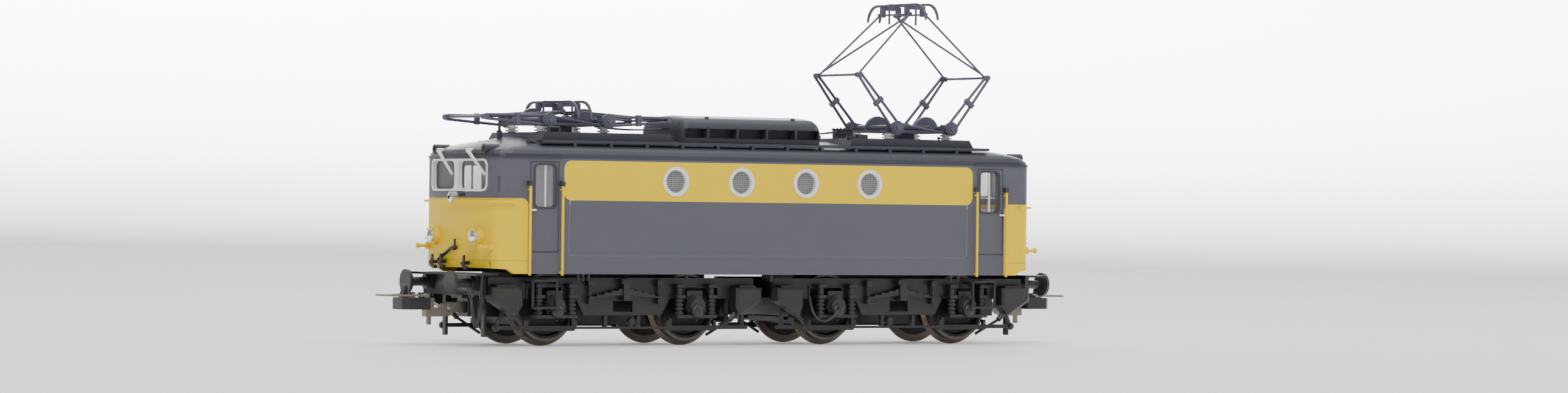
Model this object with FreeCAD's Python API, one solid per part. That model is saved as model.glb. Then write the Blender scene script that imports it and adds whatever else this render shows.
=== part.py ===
import FreeCAD
import Part
import math
import os

# A 1:87 scale model of a four-axle electric locomotive with two diamond pantographs.
# Lengths are in millimetres. X runs along the locomotive, Y across it, Z up.
# Heights are measured from the rail head, and every piece is lifted by the flange
# depth when it is written, so that the wheel flanges stand on the ground plane.
# The end with the lowered pantograph is "front", at negative X.

V = FreeCAD.Vector

# Running clearances and overruns
cut_over = 1.0
seat_gap = 0.03
run_gap = 0.08

# Sections of thin bars
wire_sides = 8
small_round_sides = 12
wire_turn_share = 0.5

# Wheels and axles
tread_radius = 7.18
flange_depth = 1.0
flange_width = 0.8
flange_back_share = 0.98
wheel_width = 2.8
wheel_back_y = 7.2
axle_radius = 1.0
wheel_hub_radius = 2.0
rim_depth = 1.1
web_recess = 0.7
inner_axle_x = 17.67
bogie_wheelbase = 33.98
bogie_centre_x = inner_axle_x + bogie_wheelbase / 2
outer_axle_x = inner_axle_x + bogie_wheelbase

# Body shell
body_half_width = 16.4
body_end_edge_x = 67.05
body_end_bow = 0.82
body_corner_radius = 3.0
body_wall = 1.3
sill_z = 14.2
skirt_step_x = 62.8
skirt_step_run = 1.4
skirt_step_z = 15.1
skirt_front_z = 15.4
eaves_z = 38.3

# Windows, doors and portholes
screen_half_width = 12.4
screen_low_z = 31.3
screen_high_z = 38.05
screen_corner = 1.5
screen_frame_width = 0.42
screen_mullion_half = 0.75
screen_frame_proud = 0.2
screen_frame_depth = 0.85
glass_thickness = 0.35
door_low_x = 52.4
door_high_x = 59.3
door_kick_z = 18.7
door_high_z = 37.7
door_window_low_x = 53.2
door_window_high_x = 58.1
door_window_low_z = 28.1
door_window_high_z = 36.9
door_window_corner = 0.8
door_window_bar = 0.3
groove_width = 0.22
groove_depth = 0.2
panel_groove_z = 18.0
panel_groove_x = 49.9
panel_groove_high_z = 28.6
porthole_z = 33.85
porthole_outer_x = 24.3
porthole_inner_x = 8.1
porthole_radius = 3.15
porthole_ring = 0.75
porthole_proud = 0.25
corner_slot_y = 15.5
corner_slot_low_z = 31.2
corner_slot_high_z = 34.35
corner_slot_width = 0.5
corner_slot_depth = 1.05
socket_y = 13.4
socket_z = 16.2
socket_size = 0.9
socket_depth = 0.7

# Roof
roof_top_z = 43.0
roof_thickness = 1.2
roof_bow_steps = 4
roof_corner_steps = 4
roof_corner_share = 0.8
roof_hollow_inset = 3.2
roof_hollow_z = 40.2
gutter_height = 0.35
gutter_proud = 0.25
gutter_end_x = 51.6

# Roof equipment
hood_front_x = 18.9
hood_rear_x = 17.1
hood_half_width = 9.3
hood_low_z = 42.4
hood_top_z = 48.2
hood_wall = 0.8
hood_crown_radius = 40.0
hood_shoulder_radius = 3.0
hood_end_radius = 2.8
hood_opening_end = 1.2
hood_opening_low_z = 43.3
hood_opening_high_z = 45.3
hood_fin_first_x = 12.25
hood_fin_pitch = 7.38
hood_fin_count = 4
hood_fin_width = 0.5
hood_fin_depth = 2.4
hood_core_half_width = 7.0
hood_lug_y = 7.0
hood_lug_radius = 0.45
hood_lug_rise = 0.3
hood_lug_front_x = 11.3
hood_lug_rear_x = 10.35
walkway_y = 13.4
walkway_width = 1.7
walkway_low_z = 41.6
walkway_thickness = 0.6
walkway_front_x = 55.3
walkway_rear_x = 57.0
bracket_pitch = 8.72
bracket_first_x = 47.5
bracket_count = 12
bracket_width = 0.7
bracket_depth = 0.8
platform_half_width = 11.8
platform_low_z = 42.6
platform_top_z = 43.9
platform_inner_x = 21.9
platform_outer_x = 54.5
platform_bevel = 1.2

# Pantographs
pantograph_front_x = -43.9
pantograph_rear_x = 43.0
shaft_offset_x = 7.1
shaft_z = 46.4
shaft_radius = 0.7
lower_arm_length = 15.0
top_pivot_half = 2.0
upper_arm_length = shaft_offset_x + lower_arm_length - top_pivot_half
lowered_lower_deg = 2.0
lowered_upper_deg = 4.0
raised_lower_deg = 50.0
raised_upper_deg = 43.0
lower_arm_y = 9.0
lower_tube_radius = 0.33
clamp_share = 1.5
lower_spread_hub = 1.0
lower_spread_knee = 0.4
lower_spread_mid = 0.72
hub_radius = 1.45
hub_width = 0.9
knee_radius = 0.62
knee_width = 0.8
knee_tube_radius = 0.28
upper_arm_knee_y = 8.05
upper_arm_top_y = 6.0
upper_rod_radius = 0.25
upper_eye_radius = 0.6
top_eye_share = 0.8
diagonal_shares = (0.06, 0.97)
upper_eye_width = 0.7
top_pin_radius = 0.22
head_strip_gap = 3.1
head_half_width = 8.2
head_horn_y = 12.0
head_horn_drop = 3.6
head_horn_shares = ((0, 0), (0.35, 0.08), (0.65, 0.28), (0.88, 0.62), (1.0, 1.0))
head_top_over_pivot = 2.36
head_strip_width = 0.8
head_strip_thickness = 0.5
head_hook_x = 3.5
head_hook_drop = 2.2
head_hook_width = 0.5
base_half_length = 9.6
base_bar_y = 7.0
base_bar_width = 0.9
base_bar_shares = (0.55, 1.0)
base_low_z = 45.4
base_high_z = 46.0
bearing_y = 7.35
bearing_width = 1.0
bearing_half_share = 2.0
bearing_top_share = 1.3
insulator_x = 7.6
insulator_y = 6.4
insulator_radius = 1.4
insulator_stem_share = 0.62
insulator_shed_shares = ((0.12, 0.38), (0.56, 0.82))
loop_x = 49.6
loop_length = 2.6
loop_y = 11.2
loop_rise = 1.0
loop_radius = 0.22
drum_radius = 3.2
spring_y = 4.6
spring_radius = 0.5
spring_half_length = 4.9
spring_eye_half = 0.45
gear_case_y = 2.2
gear_case_width = 1.0
gear_case_radius = 3.1
gear_case_share = 0.7
gear_case_steps = 12

# Bogies
housing_half_width = 6.5
housing_low_z = 3.4
housing_high_z = 15.6
housing_half_length = bogie_wheelbase / 2 + 6.51
side_plate_in_y = 11.6
side_plate_out_y = 12.6
side_top_z = 13.4
side_rail_z = 11.0
arch_near = 5.6
arch_step = 2.0
arch_far = 6.0
arch_low_z = 9.1
arch_high_z = 11.35
side_end_z = 9.0
rim_width = 0.35
rim_proud = 0.25
side_inner_x = inner_axle_x - 15.07
side_outer_x = outer_axle_x + 15.35
beam_low_z = 5.5
beam_half_length = 9.45
beam_window_half = 2.35
beam_window_low_z = 6.2
beam_window_high_z = 8.5
link_half_length = 6.0
link_low_z = 8.8
pivot_radius = 2.2
pivot_high_z = 18.0
axle_box_radius = 2.4
axle_box_out_y = 15.0
axle_box_z = 7.3
axle_box_lip = 0.45
axle_box_cap_radius = 1.75
axle_box_rim_radius = 2.1
axle_yoke_half = 1.9
axle_yoke_high_z = 10.7
coil_offset_x = 3.9
coil_radius = 1.0
coil_low_z = 5.6
coil_high_z = 9.1
coil_turns = 4
coil_core_share = 0.72
coil_wire_shares = (0.2, 0.75)
coil_y = 13.75
coil_seat = 0.7
leaf_half_length = 8.75
leaf_low_z = 9.1
leaf_high_z = 11.1
leaf_width = 1.4
hanger_block_half = 0.75
hanger_block_low_z = 11.7
hanger_block_high_z = 12.9
hanger_nut_half = 0.55
hanger_nut_z = 7.9
leaf_count = 5
leaf_camber = 0.7
buckle_half = 0.75
buckle_top_half = 1.2
buckle_top_height = 1.0
buckle_low_z = 8.6
buckle_high_z = 13.1
hanger_radius = 0.35

# Sandboxes, steps and brake gear
sandbox_out_y = 15.8
sandbox_high_z = 11.4
sandbox_side_z = 7.6
sandbox_slope_z = 8.5
sandbox_tip_z = 5.6
sandbox_tip_width = 0.9
sandbox_outer_low_x = outer_axle_x + 8.35
sandbox_outer_tip_x = outer_axle_x + 10.3
sandbox_outer_high_x = outer_axle_x + 15.65
sandbox_inner_low_x = inner_axle_x - 15.67
sandbox_inner_tip_x = inner_axle_x - 10.3
sandbox_inner_high_x = inner_axle_x - 9.17
step_low_x = outer_axle_x + 0.55
step_high_x = outer_axle_x + 6.25
step_low_z = 6.9
step_high_z = 13.0
step_y = 15.5
step_rod = 0.32
tread_depth = 1.0
tread_thickness = 0.45
sandbox_bevel = 0.55
sand_lid_height = 0.45
sand_lid_inset = 1.3
sand_funnel_radius = 0.6
sand_pipe_radius = 0.32
sand_pipe_y = 13.6
sand_pipe_end_y = 9.6
sand_pipe_bend_run = 1.7
sand_pipe_bend_z = 4.4
sand_pipe_end_x = 5.2
sand_pipe_low_z = 1.2
brake_bar_low_z = 2.2
brake_bar_high_z = 3.3
brake_bar_y = 11.9
brake_bar_width = 0.9
brake_bar_half = 6.1
brake_bar_rise = 1.1
brake_bar_turn = 0.7
brake_stay_x = 5.2
brake_stay_width = 0.7
brake_rod_low_z = 2.6
brake_rod_high_z = 3.1
brake_hanger_x = 4.0
brake_hanger_width = 0.8
brake_cylinder_x = -2.24
brake_cylinder_radius = 0.8
brake_cylinder_z = 4.15
brake_cylinder_reach = 0.5
guard_x = outer_axle_x + 13.75
guard_y = 8.6
guard_low_z = 0.9
guard_width = 1.4
guard_thickness = 0.6

# Buffer beam, buffers and coupler
beam_plate_in_x = outer_axle_x + 14.45
beam_plate_out_x = beam_plate_in_x + 5.5
beam_plate_half_width = 15.6
beam_plate_low_z = 13.75
beam_plate_high_z = 14.25
buffer_beam_in_x = outer_axle_x + 15.95
buffer_beam_out_x = buffer_beam_in_x + 1.0
buffer_beam_low_z = 9.6
buffer_beam_half_width = 13.2
buffer_y = 10.06
buffer_z = 12.15
buffer_face_x = buffer_beam_out_x + 6.0
buffer_disc_radius = 2.6
buffer_disc_thickness = 0.7
buffer_shaft_radius = 0.65
buffer_sleeve_radius = 0.95
buffer_collar_radius = 1.5
buffer_collar_length = 0.6
buffer_disc_bevel_share = 0.82
buffer_disc_back = 0.3
buffer_sleeve_end_x = buffer_face_x - 1.7
buffer_block_half = 1.9
buffer_block_share = 0.8
buffer_block_end_x = buffer_beam_out_x + 0.8
pocket_in_x = bogie_centre_x + housing_half_length + 0.44
pocket_out_x = pocket_in_x + 7.6
pocket_half_width = 2.4
pocket_wall = 0.32
pocket_low_z = 5.0
pocket_high_z = 8.9
coupler_pivot_x = pocket_in_x + 3.4
coupler_pivot_radius = 0.9
shank_half_width = 1.3
tail_share = 0.7
eye_share = 1.8
shank_low_z = 5.9
shank_high_z = 8.0
arm_in_x = coupler_pivot_x + 6.6
arm_out_x = arm_in_x + 6.6
arm_low_z = 5.0
arm_high_z = 8.9
arm_half_width = 1.0
arm_hole_x = arm_in_x + 1.3
arm_hole_z = 6.6
arm_hole_radius = 0.6
arm_boss_radius = 1.45
arm_neck = 1.9
arm_pin_x = arm_in_x + 5.5
arm_pin_low_z = 3.3
arm_pin_radius = 0.55
pin_sides = 4
head_in_x = arm_out_x + 0.1
head_out_x = head_in_x + 6.2
head_half_y = 3.2
head_taper_share = 0.35
head_low_z = 6.5
head_high_z = 9.0
bow_pivot_x = head_in_x + 1.7
bow_length = 8.0
bow_z = 9.45
bow_thickness = 0.4
bow_half_y = 4.4
bow_wire = 0.5
bow_bar_radius = 0.3
bow_lug_y = 2.1
hook_x = bow_pivot_x + 3.0
hook_high_z = 11.5
hook_width = 0.8

# End hoses, hung in a loop at the outer corners of the buffer beam
end_hose_y = 14.4
end_hose_radius = 0.35
end_hose_x = beam_plate_in_x + 3.2
end_hose_shares = ((0, 0), (0.1, 0.5), (0.3, 0.88), (0.5, 1), (0.72, 0.92), (1, 0.42))
end_hose_run = 2.5
end_hose_drop = 10.5
end_hose_tap_radius = 0.55
end_hose_tap_length = 1.3

# Underframe and inside
floor_low_z = 16.6
floor_high_z = 18.2
floor_gap = 0.05
weight_half_length = 46.0
weight_half_width = 11.0
weight_high_z = 30.0
cab_wall_x = 50.2
cab_wall_thickness = 0.8
desk_high_z = 28.8
desk_depth = 5.0
seat_x = 56.0
seat_size = 4.0
seat_high_z = 25.0
seat_back_z = 31.5
seat_y = 6.4
cabinet_y = 4.3
cabinet_half = 3.2
cabinet_depth = 2.2
cabinet_high_z = 37.0

# Rails, lamps and fittings on the body
rail_y = 17.3
rail_outer_x = 59.65
rail_inner_x = 51.95
rail_low_z = 13.9
rail_high_z = 32.4
rail_radius = 0.3
foot_share = 0.8
front_rail_z = 29.2
front_rail_end_x = 63.15
front_rail_radius = 0.25
front_rail_gap = 0.75
headlamp_y = 9.56
headlamp_z = 21.85
headlamp_housing_radius = 1.9
headlamp_lens_radius = 1.4
headlamp_reach_x = 69.2
top_lamp_z = 30.0
top_lamp_radius = 1.2
top_lamp_reach_x = 69.4
marker_y = 11.0
marker_z = 40.15
marker_radius = 1.0
marker_lens_radius = 0.6
marker_recess = 0.35
marker_reach_x = 67.5
wiper_pivot_z = 39.8
wiper_left_pivot_y = 7.8
wiper_left_tip_y = 1.4
wiper_right_pivot_y = -5.4
wiper_right_tip_y = -13.0
wiper_tip_z = 34.8
wiper_top_width = 0.75
wiper_tip_width = 0.4
wiper_thickness = 0.35
wiper_boss_radius = 0.5
wiper_stand = 0.55
peg_y = 14.0
peg_z = 19.7
peg_length = 2.8
peg_radius = 0.35
peg_head_radius = 0.6
peg_head_length = 0.5
peg_collar_radius = 0.75
peg_collar_x = 67.6
hose_radius = 0.42
hose_stub = 1.5
hose_tap_radius = 0.3
hose_tap_rise = 1.6
hose_drop = 1.05
hose_run = 2.4
hose_places = ((8.6, 16.4), (4.7, 16.5), (-5.65, 16.3))
pipe_radius = 0.35
pipe_stand = 0.6
pipe_path = ((6.6, 16.9), (3.6, 18.2), (1.3, 19.3), (-0.6, 19.5), (-2.2, 18.9), (-2.7, 16.6))
valve_y = 15.8
valve_low_z = 12.8
valve_radius = 0.35
valve_places = (-47.4, -46.2, -44.9, -21.1, 0, 46.0, 48.0)
handle_low_x = 58.1
handle_high_x = 59.3
handle_foot_x = 59.0
handle_z = 27.5
handle_radius = 0.22
handle_stand = 0.55
rail_bracket_high_z = 33.5
rail_bracket_half = 0.4
horn_low_x = 53.4
horn_high_x = 57.4
horn_y = 12.0
horn_low_z = 40.6
horn_high_z = 42.1
horn_radius = 0.45
horn_bell_radius = 0.75
horn_bell_share = 0.8
post_x = 57.9
post_high_z = 47.5
post_radius = 0.3
post_knob_z = 44.2
post_knob_radius = 0.6


def box(x0, x1, y0, y1, z0, z1):
    """Block between two corners."""
    return Part.makeBox(x1 - x0, y1 - y0, z1 - z0, V(x0, y0, z0))


def rod(start, end, radius):
    """Round bar between two points."""
    along = end.sub(start)
    return Part.makeCylinder(radius, along.Length, start, along)


def wire(start, end, radius, sides=wire_sides):
    """Thin bar between two points, with a section of few sides."""
    along = end.sub(start)
    turn = FreeCAD.Rotation(V(0, 0, 1), along)
    corners = []
    for index in range(sides):
        angle = 2 * math.pi * (index + wire_turn_share) / sides
        corners.append(start + turn.multVec(V(radius * math.cos(angle),
                                              radius * math.sin(angle), 0)))
    return Part.Face(Part.makePolygon(corners + corners[:1])).extrude(along)


def bent_wire(points, radius):
    """Thin bar through several points."""
    return join([wire(start, end, radius) for start, end in zip(points, points[1:])])


def disc_y(x, y0, y1, z, radius):
    """Round bar along Y."""
    return rod(V(x, y0, z), V(x, y1, z), radius)


def disc_x(x0, x1, y, z, radius):
    """Round bar along X."""
    return rod(V(x0, y, z), V(x1, y, z), radius)


def disc_z(x, y, z0, z1, radius):
    """Round bar along Z."""
    return rod(V(x, y, z0), V(x, y, z1), radius)


def plate_y(points, y0, y1):
    """Outline in X and Z, given thickness along Y."""
    corners = [V(x, y0, z) for x, z in points]
    face = Part.Face(Part.makePolygon(corners + corners[:1]))
    return face.extrude(V(0, y1 - y0, 0))


def plate_x(points, x0, x1):
    """Outline in Y and Z, given thickness along X."""
    corners = [V(x0, y, z) for y, z in points]
    face = Part.Face(Part.makePolygon(corners + corners[:1]))
    return face.extrude(V(x1 - x0, 0, 0))


def join(shapes):
    """One solid from pieces that overlap or touch."""
    first = shapes[0]
    if len(shapes) == 1:
        return first
    return first.multiFuse(shapes[1:]).removeSplitter()


def mirror_x(shape):
    """The same piece at the other end."""
    return shape.mirror(V(0, 0, 0), V(1, 0, 0))


def mirror_y(shape):
    """The same piece on the other side."""
    return shape.mirror(V(0, 0, 0), V(0, 1, 0))


def both_sides(shape):
    return [shape, mirror_y(shape)]


def both_ends(shape):
    return [shape, mirror_x(shape)]


def turned_end(shape):
    """The same piece turned round to the other end."""
    return mirror_x(mirror_y(shape))


def save(name, shapes):
    """Write one node, lifted so that the flanges stand on the ground."""
    solids = []
    for shape in shapes:
        solids.extend(shape.Solids)
    lifted = [solid.translated(V(0, 0, flange_depth)) for solid in solids]
    whole = lifted[0] if len(lifted) == 1 else Part.makeCompound(lifted)
    whole.exportStep(os.path.join("parts", name + ".step"))


def plan_wire(half_width, end_x, bow, corner, z):
    """Rounded rectangle with bowed ends, seen from above."""
    slant = corner * math.sqrt(0.5)
    side_x = end_x - corner
    side_y = half_width - corner
    near = V(side_x, half_width, z)
    front = V(end_x, side_y, z)
    middle = V(side_x + slant, side_y + slant, z)
    quarter = [near, middle, front]
    nose = V(end_x + bow, 0, z)

    def flip(p, sx, sy):
        return V(p.x * sx, p.y * sy, p.z)

    edges = []
    edges.append(Part.Arc(*quarter).toShape())
    edges.append(Part.Arc(front, nose, flip(front, 1, -1)).toShape())
    edges.append(Part.Arc(*[flip(p, 1, -1) for p in reversed(quarter)]).toShape())
    edges.append(Part.LineSegment(flip(near, 1, -1), flip(near, -1, -1)).toShape())
    edges.append(Part.Arc(*[flip(p, -1, -1) for p in quarter]).toShape())
    edges.append(Part.Arc(flip(front, -1, -1), flip(nose, -1, 1), flip(front, -1, 1)).toShape())
    edges.append(Part.Arc(*[flip(p, -1, 1) for p in reversed(quarter)]).toShape())
    edges.append(Part.LineSegment(flip(near, -1, 1), near).toShape())
    return Part.Wire(edges)


def body_prism(inset, z0, z1):
    """Solid of the body's plan, drawn in by an inset."""
    wire = plan_wire(body_half_width - inset, body_end_edge_x - inset, body_end_bow,
                     body_corner_radius - inset, z0)
    return Part.Face(wire).extrude(V(0, 0, z1 - z0))


def rounded_outline(a0, a1, z0, z1, radius, along_x, start, depth):
    """Rounded rectangle pushed through a wall, along X or along Y."""
    if along_x:
        block = box(start, start + depth, a0, a1, z0, z1)
        edges = [e for e in block.Edges if abs(e.tangentAt(e.FirstParameter).x) > 1 - seat_gap]
    else:
        block = box(a0, a1, start, start + depth, z0, z1)
        edges = [e for e in block.Edges if abs(e.tangentAt(e.FirstParameter).y) > 1 - seat_gap]
    return block.makeFillet(radius, edges)


# Body shell

def screen_hole(margin):
    """Cutter of the front window at the rear end, smaller by a margin."""
    return rounded_outline(-screen_half_width + margin, screen_half_width - margin,
                           screen_low_z + margin, screen_high_z - margin,
                           screen_corner - margin, True,
                           body_end_edge_x - body_corner_radius - body_wall,
                           body_corner_radius + body_wall + body_end_bow + cut_over)


def door_window_hole(margin):
    """Cutter of one cab door window."""
    return rounded_outline(door_window_low_x + margin, door_window_high_x - margin,
                           door_window_low_z + margin, door_window_high_z - margin,
                           door_window_corner - margin, False,
                           body_half_width - body_wall - cut_over,
                           body_wall + 2 * cut_over)


def groove_frame(x0, x1, z0, z1):
    """Shallow rectangular line cut in the side wall."""
    depth_y = body_half_width - groove_depth
    outer = box(x0, x1, depth_y, body_half_width + cut_over, z0, z1)
    inner = box(x0 + groove_width, x1 - groove_width, depth_y - cut_over,
                body_half_width + 2 * cut_over, z0 + groove_width, z1 - groove_width)
    return outer.cut(inner)


def body_shell():
    shell = body_prism(0, sill_z, eaves_z)
    shell = shell.cut(body_prism(body_wall, sill_z - cut_over, eaves_z + cut_over))
    low = sill_z - cut_over
    past = body_end_edge_x + body_end_bow + cut_over
    step = plate_y([(skirt_step_x, low), (skirt_step_x, sill_z),
                    (skirt_step_x + skirt_step_run, skirt_step_z),
                    (past, skirt_front_z), (past, low)],
                   -body_half_width - cut_over, body_half_width + cut_over)
    cutters = both_ends(step) + both_ends(screen_hole(-seat_gap))
    for hole in both_sides(door_window_hole(0)):
        cutters += both_ends(hole)
    for line in both_sides(groove_frame(door_low_x, door_high_x, door_kick_z, door_high_z)):
        cutters += both_ends(line)
    belt = box(-panel_groove_x, panel_groove_x, body_half_width - groove_depth,
               body_half_width + cut_over, panel_groove_z, panel_groove_z + groove_width)
    upright = box(panel_groove_x - groove_width, panel_groove_x,
                  body_half_width - groove_depth, body_half_width + cut_over,
                  panel_groove_z, panel_groove_high_z)
    cutters += both_sides(belt)
    for line in both_sides(upright):
        cutters += both_ends(line)
    for x in (porthole_inner_x, porthole_outer_x):
        hole = disc_y(x, body_half_width - body_wall - cut_over, body_half_width + cut_over,
                      porthole_z, porthole_radius + seat_gap)
        for side in both_sides(hole):
            cutters += both_ends(side)
    slot = box(body_end_edge_x - corner_slot_depth, body_end_edge_x + cut_over,
               corner_slot_y - corner_slot_width / 2, corner_slot_y + corner_slot_width / 2,
               corner_slot_low_z, corner_slot_high_z)
    half = socket_size / 2
    socket = box(body_end_edge_x - socket_depth, body_end_edge_x + cut_over,
                 socket_y - half, socket_y + half, socket_z - half, socket_z + half)
    for side in both_sides(slot) + both_sides(socket):
        cutters += both_ends(side)
    return shell.cut(Part.makeCompound(cutters))


def wall_band(proud, depth, z0, z1):
    """Band that follows the outside of the body wall."""
    return body_prism(-proud, z0, z1).cut(body_prism(depth, z0 - cut_over, z1 + cut_over))


def window_frames():
    band = wall_band(screen_frame_proud, screen_frame_depth, screen_low_z - cut_over, eaves_z)
    pane_low = screen_low_z + screen_frame_width
    pane_high = screen_high_z - screen_frame_width
    pane_far = screen_half_width - screen_frame_width
    start = body_end_edge_x - body_corner_radius - cut_over
    depth = body_corner_radius + body_end_bow + 3 * cut_over
    corner = screen_corner - screen_frame_width / 2
    ring = screen_hole(0)
    for y0, y1 in ((-pane_far, -screen_mullion_half), (screen_mullion_half, pane_far)):
        ring = ring.cut(rounded_outline(y0, y1, pane_low, pane_high, corner, True, start, depth))
    frame = ring.common(band)
    bar_x = (door_window_low_x + door_window_high_x) / 2
    bar = box(bar_x - door_window_bar / 2, bar_x + door_window_bar / 2,
              body_half_width - body_wall / 3, body_half_width,
              door_window_low_z, door_window_high_z)
    pieces = both_ends(frame)
    for side in both_sides(bar):
        pieces += both_ends(side)
    return pieces


def cab_glass():
    """Front pane and the two door panes of each cab."""
    back = screen_frame_depth + seat_gap
    band = wall_band(-back, back + glass_thickness, screen_low_z - cut_over, eaves_z)
    front = screen_hole(seat_gap).common(band)
    door_y = body_half_width - body_wall / 3 - seat_gap
    slab = box(door_window_low_x, door_window_high_x, door_y - glass_thickness, door_y,
               door_window_low_z, door_window_high_z)
    door = door_window_hole(seat_gap).common(slab)
    panes = both_ends(front)
    for side in both_sides(door):
        panes += both_ends(side)
    return panes


def porthole_places():
    return [s * x for x in (porthole_inner_x, porthole_outer_x) for s in (-1, 1)]


def porthole_rings():
    rings = []
    for x in porthole_places():
        outer = disc_y(x, body_half_width - body_wall / 2, body_half_width + porthole_proud,
                       porthole_z, porthole_radius)
        inner = disc_y(x, body_half_width - body_wall, body_half_width + cut_over,
                       porthole_z, porthole_radius - porthole_ring)
        rings += both_sides(outer.cut(inner))
    return rings


def porthole_grilles():
    grilles = []
    top = body_half_width - body_wall / 2 - seat_gap
    for x in porthole_places():
        disc = disc_y(x, body_half_width - body_wall, top, porthole_z,
                      porthole_radius - seat_gap)
        grilles += both_sides(disc)
    return grilles


# Roof

roof_height_shares = (0, 0.20, 0.36, 0.48, 0.60, 0.72, 0.82, 0.91, 1.0)
roof_side_shares = (0, 0.010, 0.045, 0.10, 0.18, 0.30, 0.43, 0.60, 0.82)
roof_end_shares = (0, 0.002, 0.011, 0.028, 0.055, 0.09, 0.12, 0.155, 0.20)


def roof_outline(half, reach, bow, corner, z):
    """Closed plan outline of one level of the roof, in short straight runs."""
    side_y = half - corner
    quarter = []
    for step in range(roof_bow_steps):
        share = step / roof_bow_steps
        quarter.append((reach + bow * (1 - share ** 2), side_y * share))
    for step in range(roof_corner_steps + 1):
        angle = math.pi / 2 * step / roof_corner_steps
        quarter.append((reach - corner + corner * math.cos(angle),
                        side_y + corner * math.sin(angle)))
    far = quarter + [(-x, y) for x, y in reversed(quarter)]
    near = [(x, -y) for x, y in reversed(far[1:-1])]
    points = [V(x, y, z) for x, y in far + near]
    return Part.makePolygon(points + points[:1])


def roof_dome(raise_z, inset):
    """Domed roof: plan outlines that draw in as they rise."""
    wires = []
    rise = roof_top_z - eaves_z
    for height, side, end in zip(roof_height_shares, roof_side_shares, roof_end_shares):
        half = body_half_width * (1 - side) - inset
        reach = body_end_edge_x * (1 - end) - inset
        corner = min(body_corner_radius + half * side, half * roof_corner_share)
        bow = body_end_bow * (1 + height)
        z = eaves_z + rise * height + raise_z
        wires.append(roof_outline(half, reach, bow, corner, z))
    return Part.makeLoft(wires, True, True)


def roof():
    inside = body_prism(roof_thickness, eaves_z - cut_over, eaves_z + roof_thickness)
    hollow = box(-body_end_edge_x + 2 * roof_hollow_inset, body_end_edge_x - 2 * roof_hollow_inset,
                 -body_half_width + roof_hollow_inset, body_half_width - roof_hollow_inset,
                 eaves_z, roof_hollow_z)
    skin = roof_dome(0, 0).cut(inside).cut(hollow)
    lip = body_prism(-gutter_proud, eaves_z, eaves_z + gutter_height)
    lip = lip.cut(body_prism(gutter_proud, eaves_z - cut_over, eaves_z + cut_over))
    middle = box(-gutter_end_x, gutter_end_x, -body_half_width - cut_over,
                 body_half_width + cut_over, eaves_z - cut_over, eaves_z + cut_over)
    lip = lip.cut(middle)
    return join([skin] + lip.Solids)


def marker_lamps():
    """Small lamps at the four corners of the roof."""
    dome = roof_dome(seat_gap, -seat_gap)
    back = body_end_edge_x - body_corner_radius
    pieces = []
    for side in (-1, 1):
        y = side * marker_y
        lamp = disc_x(back, marker_reach_x, y, marker_z, marker_radius)
        recess = disc_x(marker_reach_x - marker_recess, marker_reach_x + cut_over, y, marker_z,
                        marker_lens_radius)
        pieces += both_ends(lamp.cut(dome).cut(recess))
    return pieces


def hood_solid(inset):
    """Arched cover, smaller all round by an inset."""
    half = hood_half_width - inset
    crown = hood_crown_radius - inset
    shoulder = hood_shoulder_radius - inset
    top = hood_top_z - inset
    side = half - shoulder
    drop = math.sqrt((crown - shoulder) ** 2 - side ** 2)
    centre_z = top - crown + drop
    lean = crown / (crown - shoulder)
    meet_y = side * lean
    meet_z = top - crown + drop * lean
    tilt = (math.pi / 2 - math.atan2(side, drop)) / 2
    turn_y = side + shoulder * math.cos(tilt)
    turn_z = centre_z + shoulder * math.sin(tilt)
    start = -hood_front_x + inset
    low = hood_low_z - (cut_over if inset else 0)

    def at(y, z):
        return V(start, y, z)

    edges = [Part.LineSegment(at(half, low), at(half, centre_z)).toShape(),
             Part.Arc(at(half, centre_z), at(turn_y, turn_z), at(meet_y, meet_z)).toShape(),
             Part.Arc(at(meet_y, meet_z), at(0, top), at(-meet_y, meet_z)).toShape(),
             Part.Arc(at(-meet_y, meet_z), at(-turn_y, turn_z), at(-half, centre_z)).toShape(),
             Part.LineSegment(at(-half, centre_z), at(-half, low)).toShape(),
             Part.LineSegment(at(-half, low), at(half, low)).toShape()]
    face = Part.Face(Part.Wire(edges))
    solid = face.extrude(V(hood_rear_x + hood_front_x - 2 * inset, 0, 0))
    return solid.makeFillet(hood_end_radius - inset, hood_end_edges(solid))


def hood_end_edges(solid):
    """Edges round the two ends of the cover, without the open bottom."""
    found = []
    for edge in solid.Edges:
        size = edge.BoundBox
        if size.XLength < seat_gap and size.ZMax > hood_low_z + seat_gap:
            found.append(edge)
    return found


def roof_hood():
    """Louvred cover between the pantographs, open along both sides."""
    shell = hood_solid(0).cut(hood_solid(hood_wall))
    opening = box(-hood_front_x + hood_opening_end, hood_rear_x - hood_opening_end,
                  hood_half_width - hood_wall - cut_over, hood_half_width + cut_over,
                  hood_opening_low_z, hood_opening_high_z)
    shell = shell.cut(Part.makeCompound(both_sides(opening)))
    parts = [shell]
    half = hood_fin_width / 2
    for index in range(hood_fin_count):
        x = -hood_fin_first_x + hood_fin_pitch * index
        fin = box(x - half, x + half, hood_half_width - hood_fin_depth,
                  hood_half_width - seat_gap, hood_low_z, hood_opening_high_z + hood_wall / 2)
        parts += both_sides(fin)
    for x in (-hood_lug_front_x, hood_lug_rear_x):
        lug = disc_z(x, hood_lug_y, hood_top_z - hood_wall * 2, hood_top_z - hood_lug_rise,
                     hood_lug_radius)
        parts += both_sides(lug.cut(hood_solid(hood_wall / 2)))
    core = box(-hood_front_x, hood_rear_x, -hood_core_half_width, hood_core_half_width,
               hood_low_z - cut_over, hood_top_z)
    parts.append(hood_solid(hood_wall / 2).common(core))
    return join(parts).cut(roof_dome(seat_gap, -seat_gap))


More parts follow.
